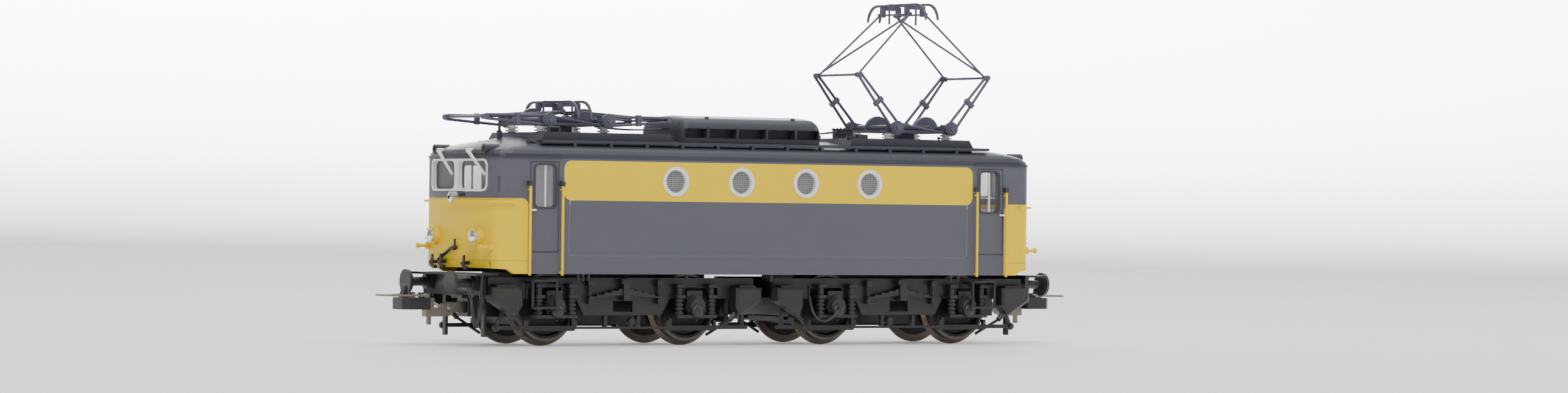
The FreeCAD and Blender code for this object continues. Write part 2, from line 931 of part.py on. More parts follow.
def roof_walkways():
    half = walkway_width / 2
    high = walkway_low_z + walkway_thickness
    board = box(-walkway_front_x, walkway_rear_x, walkway_y - half, walkway_y + half,
                walkway_low_z, high)
    pieces = [board]
    for index in range(bracket_count):
        x = -bracket_first_x + bracket_pitch * index
        foot = box(x - bracket_width / 2, x + bracket_width / 2,
                   walkway_y - bracket_depth / 2, walkway_y + bracket_depth,
                   eaves_z + gutter_height, walkway_low_z + walkway_thickness / 2)
        pieces.append(foot)
    walkway = join(pieces).cut(roof_dome(seat_gap, -seat_gap))
    return both_sides(walkway)


def roof_platforms():
    """Raised board under each pantograph."""
    inner = platform_inner_x
    outer = platform_outer_x
    low = platform_low_z - walkway_thickness
    slab = plate_y([(inner, low), (inner + platform_bevel, platform_top_z),
                    (outer - platform_bevel, platform_top_z), (outer, low)],
                   -platform_half_width, platform_half_width)
    slab = slab.cut(roof_dome(seat_gap, -seat_gap))
    return both_ends(slab)


# Pantographs

def insulators(centre):
    """White insulators and the central drum that carry one pantograph."""
    pieces = []
    foot = platform_top_z
    rise = base_low_z - foot
    for sx in (-1, 1):
        for sy in (-1, 1):
            x = centre + sx * insulator_x
            y = sy * insulator_y
            stem = wire(V(x, y, foot), V(x, y, base_low_z), insulator_radius * insulator_stem_share,
                        small_round_sides)
            parts = [stem]
            for low, high in insulator_shed_shares:
                parts.append(wire(V(x, y, foot + rise * low), V(x, y, foot + rise * high),
                                  insulator_radius, small_round_sides))
            pieces.append(join(parts))
    return pieces


def bearing_blocks(centre, sx):
    """Two bearings of one shaft on the frame's long bars."""
    x = centre + sx * shaft_offset_x
    half = shaft_radius * bearing_half_share
    high = shaft_z + shaft_radius * bearing_top_share
    blocks = []
    for side in (-1, 1):
        y0 = side * bearing_y - bearing_width / 2
        blocks.append(box(x - half, x + half, y0, y0 + bearing_width, base_low_z, high))
    return blocks


def gear_case(centre, sx):
    """Upright half disc beside one shaft."""
    middle = centre + sx * shaft_offset_x * gear_case_share
    points = []
    for step in range(gear_case_steps + 1):
        angle = math.pi * step / gear_case_steps
        points.append((middle + gear_case_radius * math.cos(angle),
                       base_high_z + gear_case_radius * math.sin(angle)))
    points += [(middle - gear_case_radius, base_low_z), (middle + gear_case_radius, base_low_z)]
    y = -sx * gear_case_y
    return plate_y(points, y - gear_case_width / 2, y + gear_case_width / 2)


def lifting_springs(centre):
    """Two long springs that lie between the cross bars, held by an eye at each end."""
    z = base_high_z + spring_radius
    half = spring_eye_half
    parts = []
    for side in (-1, 1):
        y = side * spring_y
        parts.append(wire(V(centre - spring_half_length, y, z),
                          V(centre + spring_half_length, y, z), spring_radius,
                          small_round_sides))
        for end in (-1, 1):
            x = centre + end * spring_half_length
            parts.append(box(x - half, x + half, y - half, y + half, base_low_z, z + half))
    return parts


def pantograph_base(centre):
    """Frame, bearings, springs and gear cases that don't move."""
    end = base_half_length
    half = base_bar_width / 2
    bars = lifting_springs(centre)
    for side in (-1, 1):
        y = side * base_bar_y
        bars.append(box(centre - end, centre + end, y - half, y + half, base_low_z,
                        base_high_z))
    for sx in (-1, 1):
        for share in base_bar_shares:
            x = centre + sx * (end * share - half)
            bars.append(box(x - half, x + half, -base_bar_y, base_bar_y, base_low_z,
                            base_high_z))
        bars += bearing_blocks(centre, sx)
        bars.append(gear_case(centre, sx))
    frame = join(bars)
    for sx in (-1, 1):
        frame = frame.cut(disc_y(centre + sx * shaft_offset_x, -base_bar_y * 2, base_bar_y * 2,
                                 shaft_z, shaft_radius + run_gap))
    drum = disc_z(centre, 0, platform_top_z, base_low_z - seat_gap, drum_radius)
    return [frame, drum]


def turned(shape, centre, angle):
    """Turn a piece about an axis along Y."""
    copy = shape.copy()
    copy.rotate(centre, V(0, 1, 0), angle)
    return copy


def lower_arm(centre, side, angle):
    """One lower arm: shaft, hubs, twin tubes and knee tube. Side is -1 or 1 along X."""
    root = V(centre + side * shaft_offset_x, 0, shaft_z)
    reach = side * lower_arm_length
    pieces = [disc_y(root.x, -lower_arm_y, lower_arm_y, root.z, shaft_radius)]
    pieces.append(disc_y(root.x + reach, -lower_arm_y, lower_arm_y, root.z, knee_tube_radius))
    for sy in (-1, 1):
        y = sy * lower_arm_y
        pieces.append(disc_y(root.x, y - hub_width / 2, y + hub_width / 2, root.z, hub_radius))
        pieces.append(disc_y(root.x + reach, y - knee_width / 2, y + knee_width / 2,
                             root.z, knee_radius))
        middle_x = root.x + reach / 2
        for sz in (-1, 1):
            hub = V(root.x, y, root.z + sz * lower_spread_hub)
            middle = V(middle_x, y, root.z + sz * lower_spread_mid)
            knee = V(root.x + reach, y, root.z + sz * lower_spread_knee)
            pieces.append(wire(hub, middle, lower_tube_radius))
            pieces.append(wire(middle, knee, lower_tube_radius))
        clamp = lower_tube_radius * clamp_share
        pieces.append(box(middle_x - clamp, middle_x + clamp, y - clamp, y + clamp,
                          root.z - lower_spread_mid - clamp, root.z + lower_spread_mid + clamp))
    return turned(join(pieces), root, side * -angle)


def knee_point(centre, side, lower_deg):
    angle = math.radians(lower_deg)
    return V(centre + side * (shaft_offset_x + lower_arm_length * math.cos(angle)), 0,
             shaft_z + lower_arm_length * math.sin(angle))


def upper_arm(centre, side, lower_deg, upper_deg):
    """One upper arm: knee eyes, tapering rods, one diagonal and the top eyes."""
    knee = knee_point(centre, side, lower_deg)
    inward = -side * upper_arm_length
    pieces = []
    for sy in (-1, 1):
        start = V(knee.x, sy * upper_arm_knee_y, knee.z)
        end = V(knee.x + inward, sy * upper_arm_top_y, knee.z)
        pieces.append(wire(start, end, upper_rod_radius))
        pieces.append(disc_y(start.x, start.y - upper_eye_width / 2,
                             start.y + upper_eye_width / 2, start.z, upper_eye_radius))
        pieces.append(disc_y(end.x, end.y - upper_eye_width / 2, end.y + upper_eye_width / 2,
                             end.z, upper_eye_radius * top_eye_share))
    low = V(knee.x + inward * diagonal_shares[0], side * -upper_arm_knee_y, knee.z)
    high = V(knee.x + inward * diagonal_shares[1], side * upper_arm_top_y, knee.z)
    pieces.append(wire(low, high, upper_rod_radius))
    arm = join(pieces)
    arm = arm.cut(disc_y(knee.x, -lower_arm_y, lower_arm_y, knee.z,
                         knee_tube_radius + run_gap))
    if side < 0:
        arm = arm.cut(disc_y(knee.x + inward, -lower_arm_y, lower_arm_y, knee.z,
                             top_pin_radius + run_gap))
    return turned(arm, knee, side * upper_deg)


def head_horn(x, side, top):
    """Down-curved horn at one end of a collector strip."""
    half = head_strip_thickness / 2
    run = head_horn_y - head_half_width
    spine = [(-head_strip_width, half)]
    for along, fall in head_horn_shares:
        spine.append((run * along, half + (head_horn_drop - half) * fall))
    upper = [(side * (head_half_width + y), top - z + half) for y, z in spine]
    lower = [(side * (head_half_width + y - half), top - z - half) for y, z in spine]
    return plate_x(upper + lower[::-1], x - half, x + half)


def pantograph_head(centre, lower_deg, upper_deg):
    """Collector head: two strips with horns, carried between the upper arms."""
    knee = knee_point(centre, -1, lower_deg)
    angle = math.radians(upper_deg)
    pivot_x = knee.x + upper_arm_length * math.cos(angle)
    pivot_z = knee.z + upper_arm_length * math.sin(angle)
    top = pivot_z + head_top_over_pivot
    low = top - head_strip_thickness
    pieces = []
    inner_y = upper_arm_top_y - upper_eye_width / 2 - run_gap * 3
    far_x = 2 * centre - pivot_x
    pieces.append(disc_y(pivot_x, -upper_arm_top_y - upper_eye_width / 2,
                         upper_arm_top_y + upper_eye_width / 2, pivot_z, top_pin_radius))
    pieces.append(disc_y(far_x, -inner_y + run_gap, inner_y - run_gap, pivot_z, top_pin_radius))
    for sx in (-1, 1):
        x = centre + sx * head_strip_gap / 2
        pieces.append(box(x - head_strip_width / 2, x + head_strip_width / 2,
                          -head_half_width, head_half_width, low, top))
        for sy in (-1, 1):
            pieces.append(head_horn(x, sy, top))
    for sy in (-1, 1):
        post_y = sy * (inner_y - head_hook_width)
        pieces.append(box(centre - head_strip_gap / 2 - head_strip_width / 2,
                          centre + head_strip_gap / 2 + head_strip_width / 2,
                          post_y - head_hook_width, post_y + head_hook_width,
                          low - head_strip_width, low + head_strip_thickness / 2))
        for x in (pivot_x, far_x):
            pieces.append(box(x - head_hook_width, x + head_hook_width,
                              post_y - head_hook_width, post_y + head_hook_width,
                              pivot_z - head_hook_width, low))
    for sx in (-1, 1):
        x = centre + sx * head_hook_x
        pieces.append(box(min(x, centre + sx * head_strip_gap / 2),
                          max(x, centre + sx * head_strip_gap / 2),
                          -head_hook_width / 2, head_hook_width / 2, low, low + head_strip_thickness))
        pieces.append(wire(V(x, 0, top - head_strip_thickness / 2),
                           V(x, 0, pivot_z - head_hook_drop), head_hook_width / 2))
    return join(pieces)


# Wheels

def wheelset(axle_x):
    """Two flanged wheels on one axle, as one turned form."""
    outer = wheel_back_y + wheel_width
    flange = tread_radius + flange_depth
    flange_mid = wheel_back_y + flange_width / 2
    profile = [(0, 0), (0, axle_radius), (wheel_back_y, axle_radius),
               (wheel_back_y, flange * flange_back_share), (flange_mid, flange),
               (wheel_back_y + flange_width, tread_radius), (outer, tread_radius),
               (outer, tread_radius - rim_depth),
               (outer - web_recess, tread_radius - rim_depth - web_recess / 2),
               (outer - web_recess, wheel_hub_radius), (outer, wheel_hub_radius), (outer, 0)]
    corners = [V(axle_x, y, tread_radius + r) for y, r in profile]
    face = Part.Face(Part.makePolygon(corners + corners[:1]))
    half = face.revolve(V(axle_x, 0, tread_radius), V(0, 1, 0), 360)
    return join([half, mirror_y(half)])


# Bogies, drawn at the rear end and mirrored for the front one

def axle_places():
    half = bogie_wheelbase / 2
    return (bogie_centre_x - half, bogie_centre_x + half)


def side_outline():
    """Side plate seen from the side: a deep beam between two stepped arches."""
    inner, outer = axle_places()
    centre = bogie_centre_x
    half = [(centre + beam_half_length, beam_low_z), (outer - arch_near, arch_low_z),
            (outer - arch_step, arch_low_z), (outer - arch_step, arch_high_z),
            (outer + arch_far, arch_high_z), (outer + arch_far, side_end_z),
            (side_outer_x, side_end_z), (side_outer_x, side_top_z)]
    back = [(side_inner_x, side_top_z), (side_inner_x, side_end_z),
            (inner - arch_far, side_end_z), (inner - arch_far, arch_high_z),
            (inner + arch_step, arch_high_z), (inner + arch_step, arch_low_z),
            (inner + arch_near, arch_low_z), (centre - beam_half_length, beam_low_z)]
    return half + back


def arch_rim(axle_x, out):
    """Raised edge round one arch and the two spring brackets over it."""
    y0 = side_plate_out_y
    y1 = side_plate_out_y + rim_proud
    spans = [(-arch_near - rim_width, -arch_step, arch_low_z, arch_low_z + rim_width),
             (-arch_step - rim_width, -arch_step, arch_low_z, arch_high_z + rim_width),
             (-arch_step, arch_far + rim_width, arch_high_z, arch_high_z + rim_width),
             (arch_far, arch_far + rim_width, side_end_z, arch_high_z)]
    parts = []
    for low, high, z0, z1 in spans:
        ends = sorted((axle_x + out * low, axle_x + out * high))
        parts.append(box(ends[0], ends[1], y0, y1, z0, z1))
    for sx in (-1, 1):
        x = axle_x + sx * coil_offset_x
        parts.append(box(x - coil_radius, x + coil_radius, y0, coil_y + coil_radius,
                         arch_high_z, arch_high_z + coil_seat))
    return parts


def rail_guard():
    """Upright plate in front of the outer wheel."""
    half = guard_width / 2
    return box(guard_x, guard_x + guard_thickness, guard_y - half, guard_y + half,
               guard_low_z, side_rail_z - cut_over / 2)


def bogie_frame():
    centre = bogie_centre_x
    housing = box(centre - housing_half_length, centre + housing_half_length,
                  -housing_half_width, housing_half_width, housing_low_z, housing_high_z)
    chamfered = [e for e in housing.Edges if abs(e.tangentAt(e.FirstParameter).y) > 1 - seat_gap]
    housing = housing.makeChamfer(body_wall, chamfered)
    pin = disc_z(centre, 0, housing_high_z - cut_over, pivot_high_z, pivot_radius)
    tongue = box(centre + housing_half_length - cut_over, buffer_beam_in_x,
                 -pocket_half_width, pocket_half_width, pocket_high_z, side_rail_z)
    reach_y = side_plate_in_y + cut_over / 2
    link = box(centre - link_half_length, centre + link_half_length, -reach_y, reach_y,
               link_low_z, side_rail_z)
    outer_link = box(sandbox_outer_low_x + cut_over, buffer_beam_in_x, -reach_y, reach_y,
                     side_rail_z - cut_over, side_rail_z)
    side = plate_y(side_outline(), side_plate_in_y, side_plate_out_y)
    window = box(centre - beam_window_half, centre + beam_window_half,
                 side_plate_in_y - cut_over, side_plate_out_y + cut_over,
                 beam_window_low_z, beam_window_high_z)
    pieces = [housing, pin, tongue, link, outer_link, coupler_pocket()]
    for part in [side.cut(window), rail_guard()] + side_details():
        pieces += both_sides(part)
    frame = join(pieces)
    for x in axle_places():
        frame = frame.cut(disc_y(x, -housing_half_width - cut_over, housing_half_width + cut_over,
                                 tread_radius, axle_radius + run_gap))
    return frame


def side_details():
    inner, outer = axle_places()
    return arch_rim(inner, -1) + arch_rim(outer, 1)


def coil_spring(x):
    """Moulded coil spring on its rod, with one ridge for each turn."""
    pitch = (coil_high_z - coil_low_z) / coil_turns
    parts = [wire(V(x, coil_y, coil_low_z - coil_seat / 2),
                  V(x, coil_y, arch_high_z - seat_gap),
                  coil_radius * coil_core_share, small_round_sides)]
    for turn in range(coil_turns):
        z = coil_low_z + pitch * turn
        parts.append(wire(V(x, coil_y, z + pitch * coil_wire_shares[0]),
                          V(x, coil_y, z + pitch * coil_wire_shares[1]),
                          coil_radius, small_round_sides))
    return join(parts)


def axle_cover(x):
    """Round cover of one axle box, in steps."""
    rim_y = axle_box_out_y - axle_box_lip
    return [disc_y(x, side_plate_in_y, rim_y - axle_box_lip, axle_box_z, axle_box_radius),
            disc_y(x, side_plate_in_y, rim_y, axle_box_z, axle_box_rim_radius),
            disc_y(x, side_plate_in_y, axle_box_out_y, axle_box_z, axle_box_cap_radius)]


def axle_boxes():
    """Axle boxes with their coil springs, at both sides of one bogie."""
    pieces = []
    for x in axle_places():
        parts = axle_cover(x)
        seat = coil_offset_x + coil_radius
        parts.append(box(x - seat, x + seat, side_plate_in_y, coil_y + coil_radius,
                         coil_low_z - coil_seat, coil_low_z))
        parts.append(box(x - axle_yoke_half, x + axle_yoke_half, side_plate_in_y,
                         side_plate_out_y + cut_over, axle_box_z, axle_yoke_high_z))
        for sx in (-1, 1):
            cx = x + sx * coil_offset_x
            parts.append(coil_spring(cx))
            parts.append(box(cx - coil_radius, cx + coil_radius,
                             side_plate_out_y + rim_proud + seat_gap, coil_y + coil_radius,
                             coil_high_z, coil_high_z + coil_seat))
        pieces += both_sides(join(parts))
    return pieces


def leaf_hanger(x, y0, y1):
    """Rod with its bracket above and nut below, at one end of the leaf spring."""
    mid = (y0 + y1) / 2
    nut = hanger_nut_half
    return [wire(V(x, mid, hanger_nut_z), V(x, mid, hanger_block_high_z), hanger_radius),
            box(x - hanger_block_half, x + hanger_block_half, y0, y1,
                hanger_block_low_z, hanger_block_high_z),
            box(x - nut, x + nut, mid - nut, mid + nut, hanger_nut_z, leaf_low_z)]


def leaf_springs():
    """Stepped leaf spring with its buckle and end hangers, on both sides."""
    centre = bogie_centre_x
    y0 = side_plate_out_y + seat_gap
    y1 = y0 + leaf_width
    thick = (leaf_high_z - leaf_low_z) / leaf_count
    parts = []
    for index in range(leaf_count):
        half = leaf_half_length * (leaf_count - index) / leaf_count
        z = leaf_low_z + thick * index
        parts.append(box(centre - half, centre + half, y0, y1, z, z + thick))
    under = plate_y([(centre - leaf_half_length, leaf_low_z),
                     (centre, leaf_low_z + leaf_camber),
                     (centre + leaf_half_length, leaf_low_z)], y0 - cut_over, y1 + cut_over)
    parts = [join(parts).cut(under)]
    face = y1 + coil_seat / 2
    parts.append(box(centre - buckle_half, centre + buckle_half, y0, face,
                     buckle_low_z, buckle_high_z))
    parts.append(box(centre - buckle_top_half, centre + buckle_top_half, y0, face,
                     buckle_high_z - buckle_top_height, buckle_high_z))
    for side in (-1, 1):
        x = centre + side * (leaf_half_length - hanger_radius)
        parts += leaf_hanger(x, y0, y1)
    return both_sides(join(parts))


def bevelled_box(points, y0, y1):
    """Moulded box whose outward edges are bevelled."""
    block = plate_y(points, y0, y1)
    front = [e for e in block.Edges if e.BoundBox.YMin > y1 - seat_gap]
    return block.makeChamfer(sandbox_bevel, front)


def sand_pipe(tip_x, axle_x, out):
    """Funnel under a sandbox and the thin pipe that leads to the wheel."""
    bend = V(tip_x - out * sand_pipe_bend_run, sand_pipe_y, sand_pipe_bend_z)
    top = V(tip_x, sand_pipe_y, sandbox_tip_z + sandbox_bevel)
    end = V(axle_x + out * sand_pipe_end_x, sand_pipe_end_y, sand_pipe_low_z)
    return [wire(top, bend, sand_funnel_radius), wire(bend, end, sand_pipe_radius)]


def sandboxes():
    """Outer and inner sandbox of one bogie, each tapering down to its pipe."""
    y0 = side_plate_out_y
    y1 = sandbox_out_y
    high = sandbox_high_z
    half = sandbox_tip_width / 2
    inner_axle, outer_axle = axle_places()
    pieces = []
    for near, tip, far, axle, out in (
            (sandbox_outer_low_x, sandbox_outer_tip_x, sandbox_outer_high_x, outer_axle, 1),
            (sandbox_inner_high_x, sandbox_inner_tip_x, sandbox_inner_low_x, inner_axle, -1)):
        case = bevelled_box([(near, high), (near, sandbox_side_z),
                             (tip - out * half, sandbox_tip_z),
                             (tip + out * half, sandbox_tip_z),
                             (far, sandbox_slope_z), (far, high)], y0, y1)
        low_x, high_x = sorted((near + out * sand_lid_inset, far - out * sand_lid_inset))
        lid = box(low_x, high_x, y0 + sandbox_bevel, y1 - sandbox_bevel * 2, high,
                  high + sand_lid_height)
        pieces += both_sides(join([case, lid] + sand_pipe(tip, axle, out)))
    return pieces


def steps():
    """Ladders under the cab doors, with a tread at the top and at the bottom."""
    parts = []
    half = step_rod * foot_share
    middle = step_high_z - 2 * step_rod
    for x in (step_low_x, step_high_x):
        parts.append(wire(V(x, step_y, step_low_z), V(x, step_y, step_high_z), step_rod))
        parts.append(box(x - half, x + half, side_plate_out_y, step_y, middle - half,
                         middle + half))
    for z in (step_low_z, step_high_z - tread_thickness):
        parts.append(box(step_low_x, step_high_x, step_y - tread_depth / 2,
                         step_y + tread_depth / 2, z, z + tread_thickness))
    return both_sides(join(parts))


def brake_bar(axle_x, side):
    """Thick bar under one axle, with upturned ends and the stay that holds it."""
    y0 = brake_bar_y - brake_bar_width / 2
    y1 = brake_bar_y + brake_bar_width / 2
    half = brake_bar_half
    turn = brake_bar_turn
    low = brake_bar_low_z
    high = brake_bar_high_z
    peak = high + brake_bar_rise
    outline = [(-half + turn, low), (half - turn, low), (half, low + turn), (half, peak),
               (half - turn, peak), (half - turn, high), (-half + turn, high),
               (-half + turn, peak), (-half, peak), (-half, low + turn)]
    stay_x = axle_x - side * brake_stay_x
    stay = box(stay_x - brake_stay_width / 2, stay_x + brake_stay_width / 2, y0, y1,
               high - turn, coil_low_z - coil_seat - seat_gap)
    return [plate_y([(axle_x + x, z) for x, z in outline], y0, y1), stay]


def brake_gear():
    """Low bars under the wheels, with the rod between them and its hangers."""
    y0 = brake_bar_y - brake_bar_width / 2
    y1 = brake_bar_y + brake_bar_width / 2
    centre = bogie_centre_x
    inner, outer = axle_places()
    parts = [box(inner, outer, y0, y1, brake_rod_low_z, brake_rod_high_z)]
    parts += brake_bar(inner, -1) + brake_bar(outer, 1)
    half = brake_hanger_width / 2
    for side in (-1, 1):
        x = centre + side * brake_hanger_x
        parts.append(box(x - half, x + half, y0, y1, brake_rod_low_z, beam_low_z - seat_gap))
    x = centre + brake_cylinder_x
    parts.append(box(x - half, x + half, y0, y1, brake_rod_low_z, brake_cylinder_z))
    parts.append(disc_y(x, y0, y1 + brake_cylinder_reach, brake_cylinder_z,
                        brake_cylinder_radius))
    return both_sides(join(parts))


def end_hose():
    """Air hose hung in a loop from the corner of the buffer plate."""
    top = beam_plate_low_z + seat_gap
    points = [V(end_hose_x + end_hose_run * along, end_hose_y, top - end_hose_drop * fall)
              for along, fall in end_hose_shares]
    tap = points[-1]
    return [bent_wire(points, end_hose_radius),
            wire(tap, V(tap.x, tap.y, tap.z + end_hose_tap_length), end_hose_tap_radius)]


def buffer_beam():
    """Plate and beam that carry the buffers, with the air hoses at the corners."""
    plate = box(beam_plate_in_x, beam_plate_out_x, -beam_plate_half_width,
                beam_plate_half_width, beam_plate_low_z, beam_plate_high_z)
    beam = box(buffer_beam_in_x, buffer_beam_out_x, -buffer_beam_half_width,
               buffer_beam_half_width, buffer_beam_low_z, beam_plate_low_z)
    parts = [plate, beam]
    for part in end_hose():
        parts += both_sides(part)
    return join(parts)


def buffers():
    pieces = []
    half = buffer_block_half
    back = buffer_face_x - buffer_disc_thickness
    for side in (-1, 1):
        y = side * buffer_y
        parts = [box(buffer_beam_out_x, buffer_block_end_x, y - half, y + half,
                     buffer_z - half * buffer_block_share, beam_plate_low_z - seat_gap)]
        for end, radius in ((buffer_block_end_x + buffer_collar_length, buffer_collar_radius),
                            (buffer_sleeve_end_x, buffer_sleeve_radius),
                            (buffer_face_x, buffer_shaft_radius)):
            parts.append(disc_x(buffer_beam_out_x, end, y, buffer_z, radius))
        parts.append(disc_x(back, buffer_face_x, y, buffer_z, buffer_disc_radius))
        parts.append(disc_x(back - buffer_disc_back, back, y, buffer_z,
                            buffer_disc_radius * buffer_disc_bevel_share))
        pieces.append(join(parts))
    return pieces


def coupler_pocket():
    """Box under the tongue that holds the coupler's tail."""
    shell = box(pocket_in_x, pocket_out_x, -pocket_half_width, pocket_half_width,
                pocket_low_z, pocket_high_z)
    slot = box(pocket_in_x + cut_over, pocket_out_x + cut_over,
               -pocket_half_width + pocket_wall, pocket_half_width - pocket_wall,
               shank_low_z - run_gap, shank_high_z + run_gap)
    pin = disc_z(coupler_pivot_x, 0, shank_low_z - cut_over / 2,
                 shank_high_z + cut_over / 2, coupler_pivot_radius)
    return join([shell.cut(slot), pin])


def coupler_shank():
    """Cast arm of the coupler: eye, tail, and an angled plate with a hole and a pin."""
    eye_x = coupler_pivot_x
    eye = disc_z(eye_x, 0, shank_low_z, shank_high_z, coupler_pivot_radius * eye_share)
    half = shank_half_width * tail_share
    tail = box(eye_x, arm_in_x + cut_over, -half, half, shank_low_z, shank_high_z)
    boss = disc_y(arm_hole_x, -arm_half_width, arm_half_width, arm_hole_z, arm_boss_radius)
    lower = box(arm_hole_x, arm_out_x, -arm_half_width, arm_half_width, arm_low_z,
                arm_low_z + arm_neck)
    upright = box(arm_out_x - arm_neck, arm_out_x, -arm_half_width, arm_half_width, arm_low_z,
                  arm_high_z)
    pin = wire(V(arm_pin_x, 0, arm_pin_low_z), V(arm_pin_x, 0, arm_low_z + cut_over / 2),
               arm_pin_radius, pin_sides)
    body = join([eye, tail, boss, lower, upright, pin])
    body = body.cut(disc_z(eye_x, 0, shank_low_z - cut_over, shank_high_z + cut_over,
                           coupler_pivot_radius + run_gap))
    return body.cut(disc_y(arm_hole_x, -arm_half_width - cut_over, arm_half_width + cut_over,
                           arm_hole_z, arm_hole_radius))


def coupler_head():
    """Flat head with its upright hook."""
    half = head_half_y
    taper = half * head_taper_share
    corners = [V(head_in_x, -half, head_low_z), V(head_in_x, half, head_low_z),
               V(head_out_x - taper, half, head_low_z), V(head_out_x, half - taper, head_low_z),
               V(head_out_x, -half + taper, head_low_z), V(head_out_x - taper, -half, head_low_z)]
    face = Part.Face(Part.makePolygon(corners + corners[:1]))
    slab = face.extrude(V(0, 0, head_high_z - head_low_z))
    hook = plate_y([(hook_x - hook_width, head_high_z), (hook_x - hook_width / 2, hook_high_z),
                    (hook_x, hook_high_z), (hook_x + hook_width, head_high_z)],
                   -hook_width, hook_width)
    neck = box(arm_out_x + seat_gap, head_in_x + cut_over, -arm_half_width, arm_half_width,
               head_low_z, head_high_z)
    lug = bow_bar_radius * 2
    lugs = []
    for side in (-1, 1):
        y = side * bow_lug_y
        lugs.append(box(bow_pivot_x - lug, bow_pivot_x + lug, y - lug / 2, y + lug / 2,
                        head_high_z - lug / 2, bow_z + lug))
    head = join([slab, hook, neck] + lugs)
    return head.cut(disc_y(bow_pivot_x, -bow_half_y, bow_half_y, bow_z,
                           bow_bar_radius + run_gap))


def coupler_bow():
    """Loop that lifts over the neighbour's hook."""
    low = bow_z - bow_thickness / 2
    high = bow_z + bow_thickness / 2
    reach = bow_pivot_x + bow_length
    outer = box(bow_pivot_x - bow_wire, reach, -bow_half_y, bow_half_y, low, high)
    corners = [e for e in outer.Edges if abs(e.tangentAt(e.FirstParameter).z) > 1 - seat_gap
               and e.BoundBox.XMin > bow_pivot_x]
    outer = outer.makeFillet(bow_wire * 3, corners)
    inner = box(bow_pivot_x - cut_over, reach - bow_wire * 2,
                -bow_half_y + bow_wire, bow_half_y - bow_wire, low - cut_over, high + cut_over)
    bar = disc_y(bow_pivot_x, -bow_half_y, bow_half_y, bow_z, bow_bar_radius)
    return join([outer.cut(inner), bar])


# Underframe and inside

def underframe():
    floor = body_prism(body_wall + floor_gap, floor_low_z, floor_high_z)
    for side in (-1, 1):
        floor = floor.cut(disc_z(side * bogie_centre_x, 0, floor_low_z - cut_over,
                                 floor_high_z + cut_over, pivot_radius + run_gap))
    return floor


def weight():
    return box(-weight_half_length, weight_half_length, -weight_half_width, weight_half_width,
               floor_high_z, weight_high_z)


def cab_interior():
    """Rear wall, desk, seat and cabinet of the cab at the rear end."""
    inner = body_half_width - body_wall - floor_gap
    wall = box(cab_wall_x - cab_wall_thickness, cab_wall_x, -inner, inner, floor_high_z,
               eaves_z - floor_gap)
    deck = box(cab_wall_x - cab_wall_thickness, cab_wall_x + desk_depth, -inner, inner,
               floor_high_z, floor_high_z + cab_wall_thickness)
    front = body_end_edge_x - body_corner_radius - body_wall
    foot = box(cab_wall_x, front, -inner + body_corner_radius, inner - body_corner_radius,
               floor_high_z, floor_high_z + cab_wall_thickness)
    desk = box(front - desk_depth, front, -inner + body_corner_radius,
               inner - body_corner_radius, floor_high_z, desk_high_z)
    half = seat_size / 2
    seat = box(seat_x - half, seat_x + half, -seat_y - half, -seat_y + half,
               floor_high_z, seat_high_z)
    back = box(seat_x - half, seat_x - half + cab_wall_thickness, -seat_y - half,
               -seat_y + half, floor_high_z, seat_back_z)
    cabinet = box(front - desk_depth, front - desk_depth + cabinet_depth,
                  cabinet_y - cabinet_half, cabinet_y + cabinet_half, desk_high_z - cut_over,
                  cabinet_high_z)
    return join([wall, deck, foot, desk, seat, back, cabinet])


# Fittings on the body

def grab_rails():
    """Upright rails beside the cab doors, standing off the wall on two feet."""
    pieces = []
    for x in (rail_outer_x, rail_inner_x):
        parts = [wire(V(x, rail_y, rail_low_z), V(x, rail_y, rail_high_z), rail_radius)]
        for z in (sill_z + rail_radius, rail_high_z - 2 * rail_radius):
            parts.append(wire(V(x, body_half_width, z), V(x, rail_y, z),
                              rail_radius * foot_share))
        parts.append(box(x - rail_bracket_half, x + rail_bracket_half, body_half_width,
                         rail_y + rail_radius, rail_high_z, rail_bracket_high_z))
        for side in both_sides(join(parts)):
            pieces += both_ends(side)
    return pieces


def front_rails():
    """Rail that runs round each nose, on short feet."""
    gap = front_rail_gap
    radius = front_rail_radius
    wire_out = body_prism(-gap - radius, front_rail_z - radius, front_rail_z + radius)
    wire_in = body_prism(-gap + radius, front_rail_z - cut_over, front_rail_z + cut_over)
    ring = wire_out.cut(wire_in)
    keep = box(front_rail_end_x, body_end_edge_x + 4 * cut_over, -body_half_width - 2 * cut_over,
               body_half_width + 2 * cut_over, front_rail_z - cut_over, front_rail_z + cut_over)
    rail = ring.common(keep)
    parts = [rail]
    for side in (-1, 1):
        y = side * (body_half_width + gap)
        foot_x = front_rail_end_x + radius
        parts.append(wire(V(foot_x, side * body_half_width, front_rail_z),
                          V(foot_x, y, front_rail_z), radius * foot_share))
        y = side * screen_half_width * foot_share
        parts.append(wire(V(body_end_edge_x, y, front_rail_z),
                          V(body_end_edge_x + gap + radius, y, front_rail_z),
                          radius * foot_share))
    solid = join(parts).cut(body_prism(-seat_gap, front_rail_z - cut_over,
                                       front_rail_z + cut_over))
    lamp = disc_x(body_end_edge_x - cut_over, top_lamp_reach_x + cut_over, 0, top_lamp_z,
                  top_lamp_radius + seat_gap)
    return both_ends(solid.cut(lamp))


